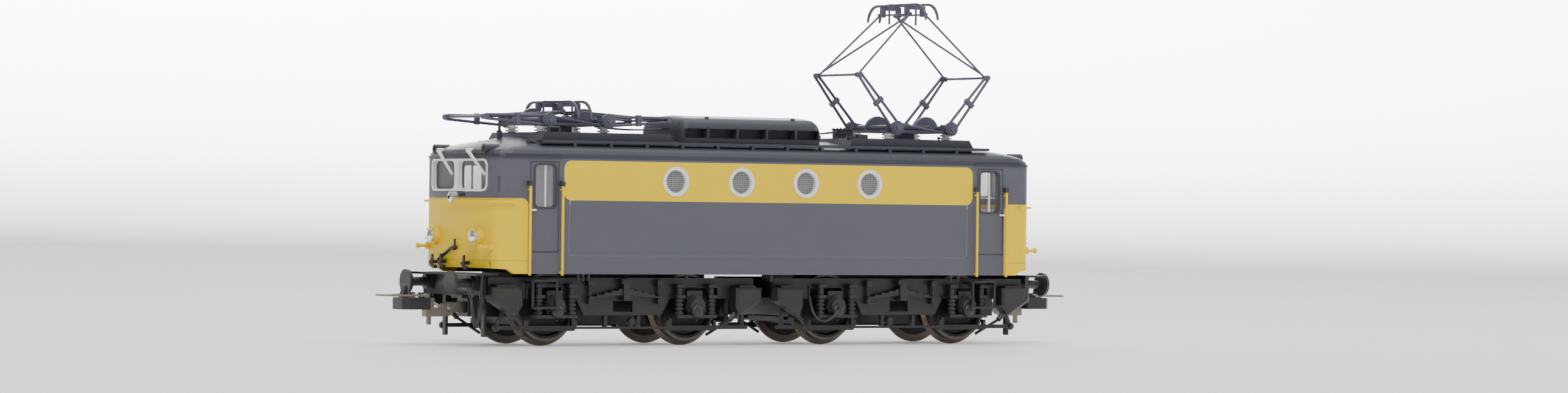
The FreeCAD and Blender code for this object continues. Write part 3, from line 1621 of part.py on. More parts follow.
def lamps():
    """Lower headlamps and the upper lamp of one end."""
    inside = body_prism(-seat_gap, sill_z, eaves_z)
    back = body_end_edge_x - cut_over
    pieces = []
    for side in (-1, 1):
        y = side * headlamp_y
        housing = disc_x(back, headlamp_reach_x - headlamp_lens_radius / 2, y, headlamp_z,
                         headlamp_housing_radius)
        lens = disc_x(back, headlamp_reach_x, y, headlamp_z, headlamp_lens_radius)
        pieces.append(join([housing, lens]).cut(inside))
    tube = disc_x(back, top_lamp_reach_x, 0, top_lamp_z, top_lamp_radius)
    pieces.append(tube.cut(inside))
    both = []
    for piece in pieces:
        both += both_ends(piece)
    return both


def wiper(pivot_y, tip_y):
    """One tapered wiper arm with the boss it hangs from."""
    face_x = body_end_edge_x + body_end_bow + wiper_stand
    pivot = V(0, pivot_y, wiper_pivot_z)
    tip = V(0, tip_y, wiper_tip_z)
    along = tip.sub(pivot).normalize()
    across = V(0, along.z, -along.y)
    corners = []
    for point, width in ((pivot, wiper_top_width), (tip, wiper_tip_width),
                         (tip, -wiper_tip_width), (pivot, -wiper_top_width)):
        corner = point + across * (width / 2)
        corners.append((corner.y, corner.z))
    arm = plate_x(corners, face_x - wiper_thickness, face_x)
    boss = disc_x(body_end_edge_x, face_x, pivot_y, wiper_pivot_z, wiper_boss_radius)
    return join([arm, boss.cut(roof_dome(seat_gap, -seat_gap))])


def wipers():
    """Two wipers over each front window; the rear pair is the front pair turned round."""
    pieces = []
    for pivot_y, tip_y in ((wiper_left_pivot_y, wiper_left_tip_y),
                           (wiper_right_pivot_y, wiper_right_tip_y)):
        arm = wiper(pivot_y, tip_y)
        pieces += [mirror_x(arm), mirror_y(arm)]
    return pieces


def end_pegs():
    """Yellow lifting pegs at the corners of the nose, with collar and head."""
    inside = body_prism(-seat_gap, sill_z, eaves_z)
    back = body_end_edge_x - cut_over - body_corner_radius
    reach = body_end_edge_x + peg_length
    spans = ((back, reach, peg_radius), (back, peg_collar_x, peg_collar_radius),
             (reach - peg_head_length, reach, peg_head_radius))
    pieces = []
    for side in (-1, 1):
        y = side * peg_y
        parts = [wire(V(start, y, peg_z), V(end, y, peg_z), radius, small_round_sides)
                 for start, end, radius in spans]
        pieces += both_ends(join(parts).cut(inside))
    return pieces


def nose_hose(y, z):
    """Stub with a tap and a short hose that droops beside it."""
    inside = body_prism(-seat_gap, sill_z, eaves_z)
    start = V(body_end_edge_x - cut_over, y, z)
    knee = V(body_end_edge_x + body_end_bow + hose_stub, y, z)
    low = V(knee.x, y - hose_run / 2, z - hose_drop)
    end = V(knee.x, y - hose_run, z - hose_drop)
    tap = wire(V(knee.x - hose_radius, y, z), V(knee.x - hose_radius, y, z + hose_tap_rise),
               hose_tap_radius)
    return join([bent_wire([start, knee, low, end], hose_radius), tap]).cut(inside)


def nose_pipe():
    """Pipe that rises across the nose and comes down again."""
    x = body_end_edge_x + body_end_bow + pipe_stand
    points = [V(x, y, z) for y, z in pipe_path]
    points = [V(body_end_edge_x, points[0].y, points[0].z)] + points
    points.append(V(body_end_edge_x, points[-1].y, points[-1].z))
    inside = body_prism(-seat_gap, sill_z, eaves_z)
    return bent_wire(points, pipe_radius).cut(inside)


def air_hoses():
    """Hoses and pipe on each nose, and the small valves under the sill."""
    pieces = []
    for part in [nose_hose(y, z) for y, z in hose_places] + [nose_pipe()]:
        pieces += [mirror_x(part), mirror_y(part)]
    for x in valve_places:
        valve = wire(V(x, -valve_y, valve_low_z), V(x, -valve_y, sill_z - seat_gap),
                     valve_radius)
        pieces += [valve, turned_end(valve)]
    return pieces


def door_handles():
    """Lever on each cab door."""
    y = body_half_width + handle_stand
    parts = [wire(V(handle_low_x, y, handle_z), V(handle_high_x, y, handle_z), handle_radius),
             wire(V(handle_foot_x, body_half_width, handle_z), V(handle_foot_x, y, handle_z),
                  handle_radius)]
    pieces = []
    for side in both_sides(join(parts)):
        pieces += both_ends(side)
    return pieces


def horn():
    """Bent horn pipe with its bell, beside the front platform."""
    bend = V(-horn_high_x, -horn_y, horn_high_z)
    end = V(-horn_low_x, -horn_y, horn_low_z)
    foot = V(-horn_high_x, -horn_y, horn_low_z - cut_over)
    mouth = bend + (end - bend) * horn_bell_share
    return join([wire(foot, bend, horn_radius), wire(bend, end, horn_radius),
                 wire(mouth, end, horn_bell_radius, small_round_sides)])


def loop_handle():
    """Small wire loop that stands on the front platform."""
    low = platform_top_z
    high = platform_top_z + loop_rise
    near = -loop_x
    far = -loop_x - loop_length
    return bent_wire([V(near, -loop_y, low), V(near, -loop_y, high), V(far, -loop_y, high),
                      V(far, -loop_y, low)], loop_radius)


def roof_fittings():
    """Aerial post, horn, loop handle and marker lamps."""
    dome = roof_dome(seat_gap, -seat_gap)
    base_z = roof_top_z - roof_thickness
    post = wire(V(-post_x, 0, base_z), V(-post_x, 0, post_high_z), post_radius)
    knob = disc_z(-post_x, 0, base_z, post_knob_z, post_knob_radius)
    pieces = [join([post, knob]).cut(dome), loop_handle()]
    pieces += horn().cut(dome).Solids
    return pieces + marker_lamps()


def make_pantograph(name, centre, lower_deg, upper_deg):
    save(name + "_base", pantograph_base(centre))
    for label, side in (("a", -1), ("b", 1)):
        save(name + "_lower_arm_" + label, [lower_arm(centre, side, lower_deg)])
        save(name + "_upper_arm_" + label, [upper_arm(centre, side, lower_deg, upper_deg)])
    save(name + "_head", [pantograph_head(centre, lower_deg, upper_deg)])


def make_bogie(name, flip):
    def place(shapes):
        return [mirror_x(shape) for shape in shapes] if flip else shapes

    save("bogie_frame_" + name, place([bogie_frame()]))
    save("axle_boxes_" + name, place(axle_boxes()))
    save("leaf_springs_" + name, place(leaf_springs()))
    save("sandboxes_" + name, place(sandboxes()))
    save("steps_" + name, place(steps()))
    save("brake_gear_" + name, place(brake_gear()))
    save("buffer_beam_" + name, place([buffer_beam()]))
    save("buffers_" + name, place(buffers()))
    save("coupler_shank_" + name, place([coupler_shank()]))
    save("coupler_head_" + name, place([coupler_head()]))
    save("coupler_bow_" + name, place([coupler_bow()]))


def main():
    os.makedirs("parts", exist_ok=True)
    save("body_shell", [body_shell()])
    save("window_frames", window_frames())
    save("cab_glass", cab_glass())
    save("porthole_rings", porthole_rings())
    save("porthole_grilles", porthole_grilles())
    save("roof", [roof()])
    save("roof_hood", [roof_hood()])
    save("roof_walkways", roof_walkways())
    save("roof_platforms", roof_platforms())
    save("roof_fittings", roof_fittings())
    save("underframe", [underframe()])
    save("weight", [weight()])
    save("cab_interiors", [cab_interior(), turned_end(cab_interior())])
    save("grab_rails", grab_rails())
    save("front_rails", front_rails())
    save("lamps", lamps())
    save("wipers", wipers())
    save("end_pegs", end_pegs())
    save("air_hoses", air_hoses())
    save("door_handles", door_handles())
    save("roof_insulators", insulators(pantograph_front_x) + insulators(pantograph_rear_x))
    make_pantograph("pantograph_front", pantograph_front_x, lowered_lower_deg,
                    lowered_upper_deg)
    make_pantograph("pantograph_rear", pantograph_rear_x, raised_lower_deg, raised_upper_deg)
    make_bogie("front", True)
    make_bogie("rear", False)
    for number, x in enumerate((-axle_places()[1], -axle_places()[0],
                                axle_places()[0], axle_places()[1])):
        save("wheelset_" + str(number + 1), [wheelset(x)])


main()
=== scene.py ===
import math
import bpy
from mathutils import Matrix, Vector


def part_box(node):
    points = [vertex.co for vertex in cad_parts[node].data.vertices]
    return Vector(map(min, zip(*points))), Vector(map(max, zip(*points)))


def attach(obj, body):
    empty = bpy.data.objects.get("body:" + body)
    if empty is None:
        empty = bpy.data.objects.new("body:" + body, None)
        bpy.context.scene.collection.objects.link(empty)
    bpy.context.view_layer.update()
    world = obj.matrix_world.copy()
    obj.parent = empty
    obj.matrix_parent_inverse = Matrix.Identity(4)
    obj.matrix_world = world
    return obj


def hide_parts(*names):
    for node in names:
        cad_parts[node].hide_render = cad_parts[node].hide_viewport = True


bl_info = {
    "name": "Model locomotive dressing",
    "version": (1, 0, 0),
    "blender": (4, 5, 0),
    "location": "View3D > Sidebar > Locomotive",
    "description": "Finishes and fine fittings of a 1:87 scale model electric locomotive",
    "category": "Object",
}

from functools import partial

import bpy
from bpy.props import FloatProperty, FloatVectorProperty, PointerProperty
from mathutils import Matrix, Vector

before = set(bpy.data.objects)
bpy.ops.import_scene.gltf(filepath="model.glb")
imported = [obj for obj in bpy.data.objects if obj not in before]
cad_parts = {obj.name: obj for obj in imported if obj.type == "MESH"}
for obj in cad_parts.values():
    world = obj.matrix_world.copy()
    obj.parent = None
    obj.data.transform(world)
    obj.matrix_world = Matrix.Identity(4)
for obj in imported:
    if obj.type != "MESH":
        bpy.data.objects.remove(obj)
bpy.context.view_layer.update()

MM = 0.001
ENDS = {"front": -1, "rear": 1}
SIDES = (-1, 1)
AXLES = {"wheelset_1": "front", "wheelset_2": "front", "wheelset_3": "rear",
         "wheelset_4": "rear"}
CAD_SMOOTH, FITTING_SMOOTH = math.radians(35), math.radians(40)
# The second colour is pale dust, which also serves as painted top light on faces that look up
WHITE, DUST_AND_TOP_LIGHT = (1.0, 1.0, 1.0), (0.32, 0.31, 0.30)
GRAIN_DEPTH = 0.1 * MM

# Shapes of turned fittings: share of the radius, height in radii
DOME = ((1, 0), (1, 0.08), (0.82, 0.26), (0.48, 0.38), (0.12, 0.42))
RIVET = ((1, 0), (0.92, 0.3), (0.6, 0.6), (0.15, 0.72))
BOLT = ((1, 0), (1, 0.7), (0.75, 1.0))
COVER = ((1, 0), (1, 0.12), (0.88, 0.12), (0.84, 0.2), (0.6, 0.32), (0.3, 0.38), (0.1, 0.4))
HUB = ((1, 0), (1, 0.2), (0.74, 0.2), (0.74, 0.34), (0.36, 0.34), (0.36, 0.52), (0.14, 0.56))
BOSS = ((1, 0), (1, 0.9), (0.7, 1.0), (0.7, 1.5), (0.35, 1.6))
KNOB = ((0.5, 0), (0.5, 0.8), (1, 1.0), (1, 1.5), (0.6, 1.8))
TAP_LEVER = ((1, 0), (1, 6), (0.6, 6.4))

# Places in millimetres: along from the middle, off the centre line, height
NOSE_SLOT = (67.75, 2.5, 31.55)
HEADLAMP = (69.15, 9.56, 22.85)
LAMP_KNOBS = (69.05, 9.56, 22.85)
UPPER_LAMP = (69.35, 0, 31.0)
UPPER_BULB = (69.73, 0, 31.0)
MARKER_LAMP = (67.4, 11.0, 41.15)
WIPER_PIVOTS = ((67.6, 7.8, 40.8), (67.6, -5.4, 40.8))
NOSE_TAP = (68.47, 0.1, 20.45)
LEVER_FOOT = (0, 0.45, 0.3)

# Axle box cables of one bogie, from the boss to the box
AXLE_CABLES = (
    ((17.5, -15.6, 8.0), (16.3, -15.6, 6.2), (14.4, -15.6, 4.2), (11.0, -15.0, 3.9),
     (10.6, -14.4, 10.5)),
    ((51.9, -15.6, 8.2), (52.0, -15.7, 9.6), (52.3, -15.6, 11.0), (52.2, -14.8, 12.6),
     (52.0, -13.6, 13.8)),
)
CABLE_BOSS_Y = -15.3

# Roof leads: where each starts and ends, then its share of the run and its height
ROOF_LEADS = ((-34.4, -18.7), (25.9, 16.8))
LEAD_SAG = ((0, 46.4), (0.2, 46.2), (0.5, 45.5), (0.8, 46.0), (1, 46.2))
LEAD_Y = 0.8

# Junction box: width, depth, then bottom and top above the deck
JUNCTION_BOX = ((3.6, 3.0, -0.1, 2.0), (4.0, 3.4, 1.9, 2.2), (3.9, 3.3, 0.9, 1.05))
# Small roof boxes: place along, place across, width, depth, height
SMALL_BOXES = ((23.6, 9.8, 1.8, 1.2, 0.7), (26.4, 9.7, 2.6, 1.4, 0.9))

# Lights: name, place, target, size, setting of the power and share of it
LIGHTS = (
    ("key", (-0.45, -0.75, 0.85), (0, 0, 0.03), 0.55, "key", 1.0),
    ("top", (0.15, 0.1, 0.95), (0, 0, 0.03), 0.8, "key", 0.9),
    ("side", (0.9, -0.35, 0.5), (0, 0, 0.03), 0.5, "key", 0.35),
    ("back", (0.6, 1.4, 1.1), (1.5, 2.6, 0.3), 1.6, "backdrop", 1.0),
)

# Finish of the carried-over pieces by the start of their names; the rest are black
NODE_FINISHES = (
    ("body_shell", "body"), ("roof_insulators", "white"), ("roof", "roof"),
    ("pantograph", "pantograph"), ("cab_glass", "glass"), ("cab_interiors", "inside"),
    ("weight", "cast"), ("window_frames", "silver"), ("wipers", "silver"),
    ("porthole_rings", "silver"), ("porthole_grilles", "mesh"), ("lamps", "lamps"),
    ("grab_rails", "rails"), ("front_rails", "yellow"), ("end_pegs", "yellow"),
    ("door_handles", "silver"), ("coupler_shank", "cast"), ("coupler_bow", "cast"),
)


def colour(name, red, green, blue, text):
    """A colour setting, in linear light."""
    return FloatVectorProperty(name=name, description=text, subtype="COLOR", size=3,
                               min=0.0, max=1.0, default=(red, green, blue))


def number(name, value, text, **options):
    """A setting that is one number."""
    return FloatProperty(name=name, description=text, default=value, **options)


length = partial(number, unit="LENGTH", precision=5)
angle = partial(number, subtype="ANGLE")


class PaintSettings(bpy.types.PropertyGroup):
    """Colours of the finishes and the lines between them."""

    body_grey: colour("Body grey", 0.112, 0.113, 0.138, "Satin grey of the body sides")
    roof_grey: colour("Roof grey", 0.056, 0.059, 0.074, "Darker grey of the roof")
    yellow: colour("Yellow", 0.95, 0.65, 0.0, "Yellow of the band and the ends")
    black: colour("Running gear", 0.020, 0.019, 0.021, "Matt black of the bogies")
    pantograph: colour("Pantograph", 0.105, 0.105, 0.145, "Grey of the current collectors")
    # The tyre steel is darker than bare steel: painted shade, standing for the shade under the
    # body
    shaded_steel: colour("Wheel steel", 0.15, 0.125, 0.105, "Turned tyres")
    cast: colour("Cast metal", 0.26, 0.23, 0.19, "Bare coupler arm")
    silver: colour("Silver trim", 0.94, 0.93, 0.92, "Printed frames and rings")
    chrome: colour("Chrome", 0.86, 0.86, 0.88, "Lamp reflectors")
    insulator: colour("Insulator", 0.94, 0.94, 0.92, "White insulators")
    # The cab moulding's colour also glows, as painted light
    inside: colour("Inside", 0.40, 0.39, 0.41, "Cab moulding with painted light")
    gasket: colour("Gasket", 0.055, 0.056, 0.066, "Dark seals of the door windows")
    rubber: colour("Rubber", 0.014, 0.014, 0.015, "Black rubber")
    # The white patch in the cab is painted light: the bright backdrop seen through the far
    # door window
    painted_window_light: colour("Painted window light", 0.95, 0.95, 0.96, "White cabinet in the cab")
    # The panel line is lighter than the body grey: painted highlight where light catches the
    # edge of the panel groove
    line: colour("Panel line", 0.30, 0.30, 0.34, "Thin light line round the side panel")
    band_low: length("Band low edge", 0.0306, "Lower edge of the yellow band")
    band_high: length("Band high edge", 0.0389, "Upper edge of the yellow band")
    band_half: length("Band half length", 0.0512, "Half the length of the yellow band")
    band_corner: length("Band corner", 0.0017, "Corner radius of the yellow band")
    end_start: length("Yellow end start", 0.05965, "Where the yellow ends begin")
    end_high: length("Yellow end top", 0.0309, "Top of the yellow ends")
    end_corner: length("Yellow end corner", 0.0015, "Corner radius of the yellow ends")
    # The thin line on the side is a painted highlight of the panel groove's edge
    panel_low: length("Side panel bottom", 0.0191, "Bottom of the thin line on the side")
    panel_half: length("Side panel half length", 0.0498, "Half length of the lined panel")
    # The nose seam is drawn as a darker yellow hairline: painted shade in the seam
    seam_high: length("Nose seam", 0.01795, "Height of the fine seam round the nose")
    panel_line: length("Panel line", 0.00014, "Width of the thin line")


class StageSettings(bpy.types.PropertyGroup):
    """Camera, floor and light."""

    eye: FloatVectorProperty(name="Camera place", description="Where the camera stands",
                             subtype="XYZ", unit="LENGTH",
                             default=(-0.5413, -0.8998, 0.02895), precision=5)
    yaw: angle("Camera yaw", math.radians(31.62), "Turn from +Y towards +X")
    pitch: angle("Camera pitch", math.radians(0.168), "Tilt above the horizon")
    roll: angle("Camera roll", math.radians(0.665), "Clockwise turn of the picture")
    lens: number("Lens", 111.16, "Focal length for a 36 mm sensor", unit="CAMERA")
    floor: colour("Floor", 0.80, 0.80, 0.80, "Pale floor")
    sky: number("Ambient", 0.34, "Strength of the soft white surround")
    surround: number("Surround", 0.85, "Brightness past the floor's edge")
    key: number("Key light", 7.0, "Power of the large key light")
    backdrop: number("Backdrop light", 230.0, "Power of the light on the backdrop")
    glow: number("Floor glow", 0.22, "Light the floor gives by itself")
    sweep_far: length("Backdrop distance", 3.2, "Distance of the rising backdrop")
    sweep_high: length("Backdrop height", 2.6, "Height of the rising backdrop")
    sweep_bend: length("Backdrop bend", 2.5, "Size of the bend at the foot of the backdrop")


class FittingSettings(bpy.types.PropertyGroup):
    """Sizes of the fine fittings."""

    gasket_width: length("Gasket width", 0.0056, "Width over the door window gasket")
    gasket_height: length("Gasket height", 0.0095, "Height over the door window gasket")
    gasket_band: length("Gasket band", 0.00042, "Width of the rubber itself")
    gasket_corner: length("Gasket corner", 0.0012, "Corner radius of the gasket")
    lens_radius: length("Lens radius", 0.00128, "Radius of a headlamp lens")
    bezel_circle: length("Bezel circle", 0.00172, "Circle of the knobs round a headlamp")
    marker_radius: length("Marker lens", 0.00052, "Radius of a marker lamp lens")
    rivet_radius: length("Rivet radius", 0.00017, "Radius of a small rivet")
    bolt_radius: length("Bolt radius", 0.00022, "Radius of a bolt head")
    cover_radius: length("Axle cover", 0.0015, "Radius of a domed axle cover")
    cover_circle: length("Axle cover bolts", 0.00192, "Bolt circle of an axle cover")
    cable_radius: length("Cable radius", 0.00026, "Radius of a loose cable")
    hub_radius: length("Hub radius", 0.0016, "Radius of a pantograph hub disc")
    spring_radius: length("Spring radius", 0.00064, "Coil radius of a lifting spring")
    spring_wire: length("Spring wire", 0.00015, "Wire radius of a lifting spring")
    spring_pitch: length("Spring pitch", 0.00046, "Rise of a lifting spring in one turn")
    # The dark slot is painted shade: a thin dark block on the nose where the slot's depth
    # would be in shade
    slot_width: length("Slot width", 0.0026, "Width of the dark slot in the nose")
    slot_height: length("Slot height", 0.0006, "Height of the dark slot in the nose")
    rod_height: length("Brake rod height", 0.00085, "Height of a low brake rod")
    rod_depth: length("Brake rod depth", 0.0008, "Thickness of a low brake rod")


def paint():
    """The colour settings."""
    return bpy.context.scene.loco_paint


def fittings():
    """The sizes of the fittings."""
    return bpy.context.scene.loco_fittings


# Nodes and node groups

VALUE, VECTOR, COLOUR = "NodeSocketFloat", "NodeSocketVector", "NodeSocketColor"


def feed(tree, node, values):
    """Gives a node's inputs their sockets, colours and numbers."""
    for key, value in values.items():
        target = node.inputs[key]
        if isinstance(value, bpy.types.NodeSocket):
            tree.links.new(value, target)
        elif target.type == "RGBA":
            target.default_value = (*value, 1.0)
        else:
            target.default_value = value


def add_node(tree, kind, values=None):
    """A new shader node with its inputs filled in."""
    node = tree.nodes.new("ShaderNode" + kind)
    feed(tree, node, values or {})
    return node


def math_node(tree, operation, *values, clamp=False):
    """The result of a maths node fed by sockets or numbers."""
    node = add_node(tree, "Math", dict(enumerate(values)))
    node.operation = operation
    node.use_clamp = clamp
    return node.outputs[0]


def colour_mix(tree, mask, first, second):
    """Two colours by a mask. A colour is a triple or a socket."""
    node = add_node(tree, "Mix")
    node.data_type = "RGBA"
    feed(tree, node, {"Factor": mask, "A": first, "B": second})
    return node.outputs["Result"]


def new_group(name, inputs, outputs):
    """An empty shader node group with what comes in and the node that gives out."""
    group = bpy.data.node_groups.new(name, "ShaderNodeTree")
    for label, value in inputs.items():
        kind = value if isinstance(value, str) else VALUE
        socket = group.interface.new_socket(name=label, in_out="INPUT", socket_type=kind)
        if kind == VALUE:
            socket.default_value = value
    for label, kind in outputs.items():
        group.interface.new_socket(name=label, in_out="OUTPUT", socket_type=kind)
    start = group.nodes.new("NodeGroupInput")
    return group, start.outputs, group.nodes.new("NodeGroupOutput")


def panel_group():
    """Mask and outline of a rounded rectangle, from two distances to its middle."""
    group, start, end = new_group(
        "Rounded panel",
        {"Along": 0.0, "Up": 0.0, "Half length": 10 * MM, "Half height": 10 * MM,
         "Corner": MM, "Soft": 0.04 * MM, "Line": 0.1 * MM},
        {"Mask": VALUE, "Line": VALUE})
    maths = partial(math_node, group)
    sides = []
    for place, half in (("Along", "Half length"), ("Up", "Half height")):
        inner = maths("SUBTRACT", start[half], start["Corner"])
        sides.append(maths("SUBTRACT", maths("ABSOLUTE", start[place]), inner))
    far_x, far_z = [maths("MAXIMUM", side, 0.0) for side in sides]
    square = maths("MULTIPLY_ADD", far_z, far_z, maths("MULTIPLY", far_x, far_x))
    inside = maths("MINIMUM", maths("MAXIMUM", *sides), 0.0)
    reach = maths("ADD", maths("SQRT", square), inside)
    distance = maths("SUBTRACT", reach, start["Corner"])
    scaled = maths("DIVIDE", distance, start["Soft"])
    near = maths("SUBTRACT", start["Line"], maths("ABSOLUTE", distance))
    feed(group, end, {"Mask": maths("SUBTRACT", 0.5, scaled, clamp=True),
                      "Line": maths("DIVIDE", near, start["Soft"], clamp=True)})
    return group


def disc_group():
    """Mask of a disc, from two places and those of its middle."""
    group, start, end = new_group(
        "Disc",
        {"Along": 0.0, "Up": 0.0, "Centre along": 0.0, "Centre up": 0.0, "Radius": MM},
        {"Inside": VALUE})
    maths = partial(math_node, group)
    across = maths("SUBTRACT", start["Along"], start["Centre along"])
    up = maths("SUBTRACT", start["Up"], start["Centre up"])
    square = maths("MULTIPLY_ADD", across, across, maths("MULTIPLY", up, up))
    feed(group, end, {"Inside": maths("LESS_THAN", maths("SQRT", square), start["Radius"])})
    return group


def grain_group():
    """Fine moulded grain and slow changes of gloss, on Object coordinates."""
    group, start, end = new_group(
        "Moulded grain",
        {"Vector": VECTOR, "Fine scale": 4000.0, "Broad scale": 120.0, "Roughness": 0.45,
         "Spread": 0.06},
        {"Height": VALUE, "Roughness": VALUE, "Cloud": VALUE})
    fine, broad = [add_node(group, "TexNoise", {"Vector": start["Vector"],
                                                "Scale": start[scale], "Detail": detail})
                   for scale, detail in (("Fine scale", 3.0), ("Broad scale", 4.0))]
    centred = math_node(group, "SUBTRACT", broad.outputs["Fac"], 0.5)
    feed(group, end, {"Height": fine.outputs["Fac"], "Cloud": broad.outputs["Fac"],
                      "Roughness": math_node(group, "MULTIPLY_ADD", centred,
                                             start["Spread"], start["Roughness"])})
    return group


def dust_and_top_light_group():
    """Pale dust on faces that look up, broken by a slow cloud. The same paling also serves as
    painted top light, lighter tops where light falls.
    """
    group, start, end = new_group(
        "Dust and painted top light",
        {"Normal": VECTOR, "Cloud": 0.5, "Amount": 0.1, "Colour": COLOUR, "Dust and top light": COLOUR},
        {"Colour": COLOUR})
    parts = add_node(group, "SeparateXYZ", {0: start["Normal"]})
    up = math_node(group, "MAXIMUM", parts.outputs["Z"], 0.0)
    patch = math_node(group, "MULTIPLY", up, start["Cloud"])
    mask = math_node(group, "MULTIPLY", patch, start["Amount"], clamp=True)
    feed(group, end, {"Colour": colour_mix(group, mask, start["Colour"], start["Dust and top light"])})
    return group


MAKERS = {"panel": panel_group, "disc": disc_group, "grain": grain_group, "dust_and_top_light": dust_and_top_light_group}
GROUPS, FINISHES = {}, {}


class Finish:
    """A material under construction, with its grain already in place."""

    def __init__(self, name, roughness, spread=0.06, fine=4000.0, broad=120.0,
                 bump=0.02, metallic=0.0, gloss=0.28):
        self.material = bpy.data.materials.new(name)
        self.material.use_nodes = True
        self.tree = self.material.node_tree
        self.maths = partial(math_node, self.tree)
        self.mix = partial(colour_mix, self.tree)
        self.shader = self.tree.nodes["Principled BSDF"]
        self.place = add_node(self.tree, "TexCoord").outputs["Object"]
        self.grain = self.group("grain", {
            "Vector": self.place, "Fine scale": fine, "Broad scale": broad,
            "Roughness": roughness, "Spread": spread})
        relief = add_node(self.tree, "Bump", {
            "Strength": bump, "Distance": GRAIN_DEPTH, "Height": self.grain["Height"]})
        self.shade({"Metallic": metallic, "Specular IOR Level": gloss,
                    "Roughness": self.grain["Roughness"],
                    "Normal": relief.outputs["Normal"]})

    def group(self, key, values):
        """What a shared group gives out. It is built when first asked for."""
        if key not in GROUPS:
            GROUPS[key] = MAKERS[key]()
        node = self.tree.nodes.new("ShaderNodeGroup")
        node.node_tree = GROUPS[key]
        feed(self.tree, node, values)
        return node.outputs

    def shade(self, values):
        """Fills in inputs of the shader."""
        feed(self.tree, self.shader, values)

    def axes(self):
        """Object X, Y and Z as three values."""
        return tuple(add_node(self.tree, "SeparateXYZ", {0: self.place}).outputs)

    def panel(self, along, up, half_length, half_height, corner, line=0.0):
        """Mask and outline of a rounded rectangle."""
        return self.group("panel", {
            "Along": along, "Up": up, "Half length": half_length,
            "Half height": half_height, "Corner": corner, "Line": line})

    def disc(self, along, up, centre, radius):
        """Mask of a disc."""
        return self.group("disc", {
            "Along": along, "Up": up, "Centre along": centre[0], "Centre up": centre[1],
            "Radius": radius})["Inside"]

    def cloud(self, base, share):
        """The base colour, a little darker and lighter in slow patches."""
        dark = [part * (1 - share) for part in base]
        light = [min(1.0, part * (1 + share)) for part in base]
        return self.mix(self.grain["Cloud"], dark, light)

    def dusted_and_top_lit(self, source, amount):
        """The colour with pale dust on what looks up, which is also painted top light."""
        geometry = add_node(self.tree, "NewGeometry")
        return self.group("dust_and_top_light", {
            "Normal": geometry.outputs["Normal"], "Cloud": self.grain["Cloud"],
            "Amount": amount, "Colour": source, "Dust and top light": DUST_AND_TOP_LIGHT})["Colour"]

    def one_sided(self):
        """Clears the backs of the faces, so that nothing hides behind them."""
        back = add_node(self.tree, "NewGeometry").outputs["Backfacing"]
        clear = add_node(self.tree, "BsdfTransparent").outputs[0]
        both = add_node(self.tree, "MixShader", {0: back, 1: self.shader.outputs[0], 2: clear})
        feed(self.tree, self.tree.nodes["Material Output"], {"Surface": both.outputs[0]})

    def colour(self, source):
        """The material, with its base colour in place."""
        self.shade({"Base Color": source})
        return self.material


def plain_finish(name, base, roughness, share=0.10, dust_and_top_light=0.0, **options):
    """A finish of one colour with grain, slow patches and maybe dust that is also painted top
    light.
    """
    finish = Finish(name, roughness, **options)
    source = finish.cloud(base, share)
    if dust_and_top_light:
        source = finish.dusted_and_top_lit(source, dust_and_top_light)
    return finish.colour(source)


def body_finish():
    """Satin grey with a lined panel, the yellow band and the yellow ends. The light line round
    the panel is a painted highlight, and the dark hairline at the nose seam is painted shade.
    """
    end_reach, seam_painted_shade = 20 * MM, 0.6
    p = paint()
    finish = Finish("Body paint", 0.42, spread=0.05, fine=6000.0, broad=60.0, bump=0.015)
    maths = finish.maths
    x, _, z = finish.axes()
    band = finish.panel(x, maths("SUBTRACT", z, (p.band_low + p.band_high) / 2),
                        p.band_half, (p.band_high - p.band_low) / 2, p.band_corner)
    ends = finish.panel(maths("SUBTRACT", maths("ABSOLUTE", x), p.end_start + end_reach),
                        maths("SUBTRACT", z, p.end_high - end_reach),
                        end_reach, end_reach, p.end_corner)
    # Painted highlight: the light outline of the side panel stands for light catching the
    # groove's edge
    lined_top = p.band_low + p.band_corner
    lined = finish.panel(x, maths("SUBTRACT", z, (p.panel_low + lined_top) / 2),
                         p.panel_half, (lined_top - p.panel_low) / 2, p.panel_line * 2,
                         p.panel_line)
    grey_with_highlight_line = finish.mix(lined["Line"], finish.cloud(p.body_grey, 0.05), p.line)
    # Painted shade: a darker yellow hairline along the nose seam
    from_seam = maths("ABSOLUTE", maths("SUBTRACT", z, p.seam_high))
    seam = maths("LESS_THAN", from_seam, p.panel_line * 0.5)
    yellow = finish.mix(seam, finish.cloud(p.yellow, 0.03),
                        [part * seam_painted_shade for part in p.yellow])
    mask = maths("MAXIMUM", band["Mask"], ends["Mask"])
    return finish.colour(finish.mix(mask, grey_with_highlight_line, yellow))


def glass_finish():
    """Thin moulded panes: mostly clear, with a grey tint and a soft sheen."""
    smear_scale, smear_share = 300.0, 0.10
    clearest, edge_share = 0.14, 0.6
    material = bpy.data.materials.new("Clear pane")
    material.use_nodes = True
    tree = material.node_tree
    place = add_node(tree, "TexCoord").outputs["Object"]
    smear = add_node(tree, "TexNoise", {"Scale": smear_scale, "Vector": place})
    edge = add_node(tree, "LayerWeight", {"Blend": 0.25})
    feed(tree, tree.nodes["Principled BSDF"], {
        "Base Color": (0.30, 0.30, 0.31),
        "Roughness": math_node(tree, "MULTIPLY", smear.outputs["Fac"], smear_share),
        "Alpha": math_node(tree, "MULTIPLY_ADD", edge.outputs["Fresnel"], edge_share,
                           clearest)})
    return material


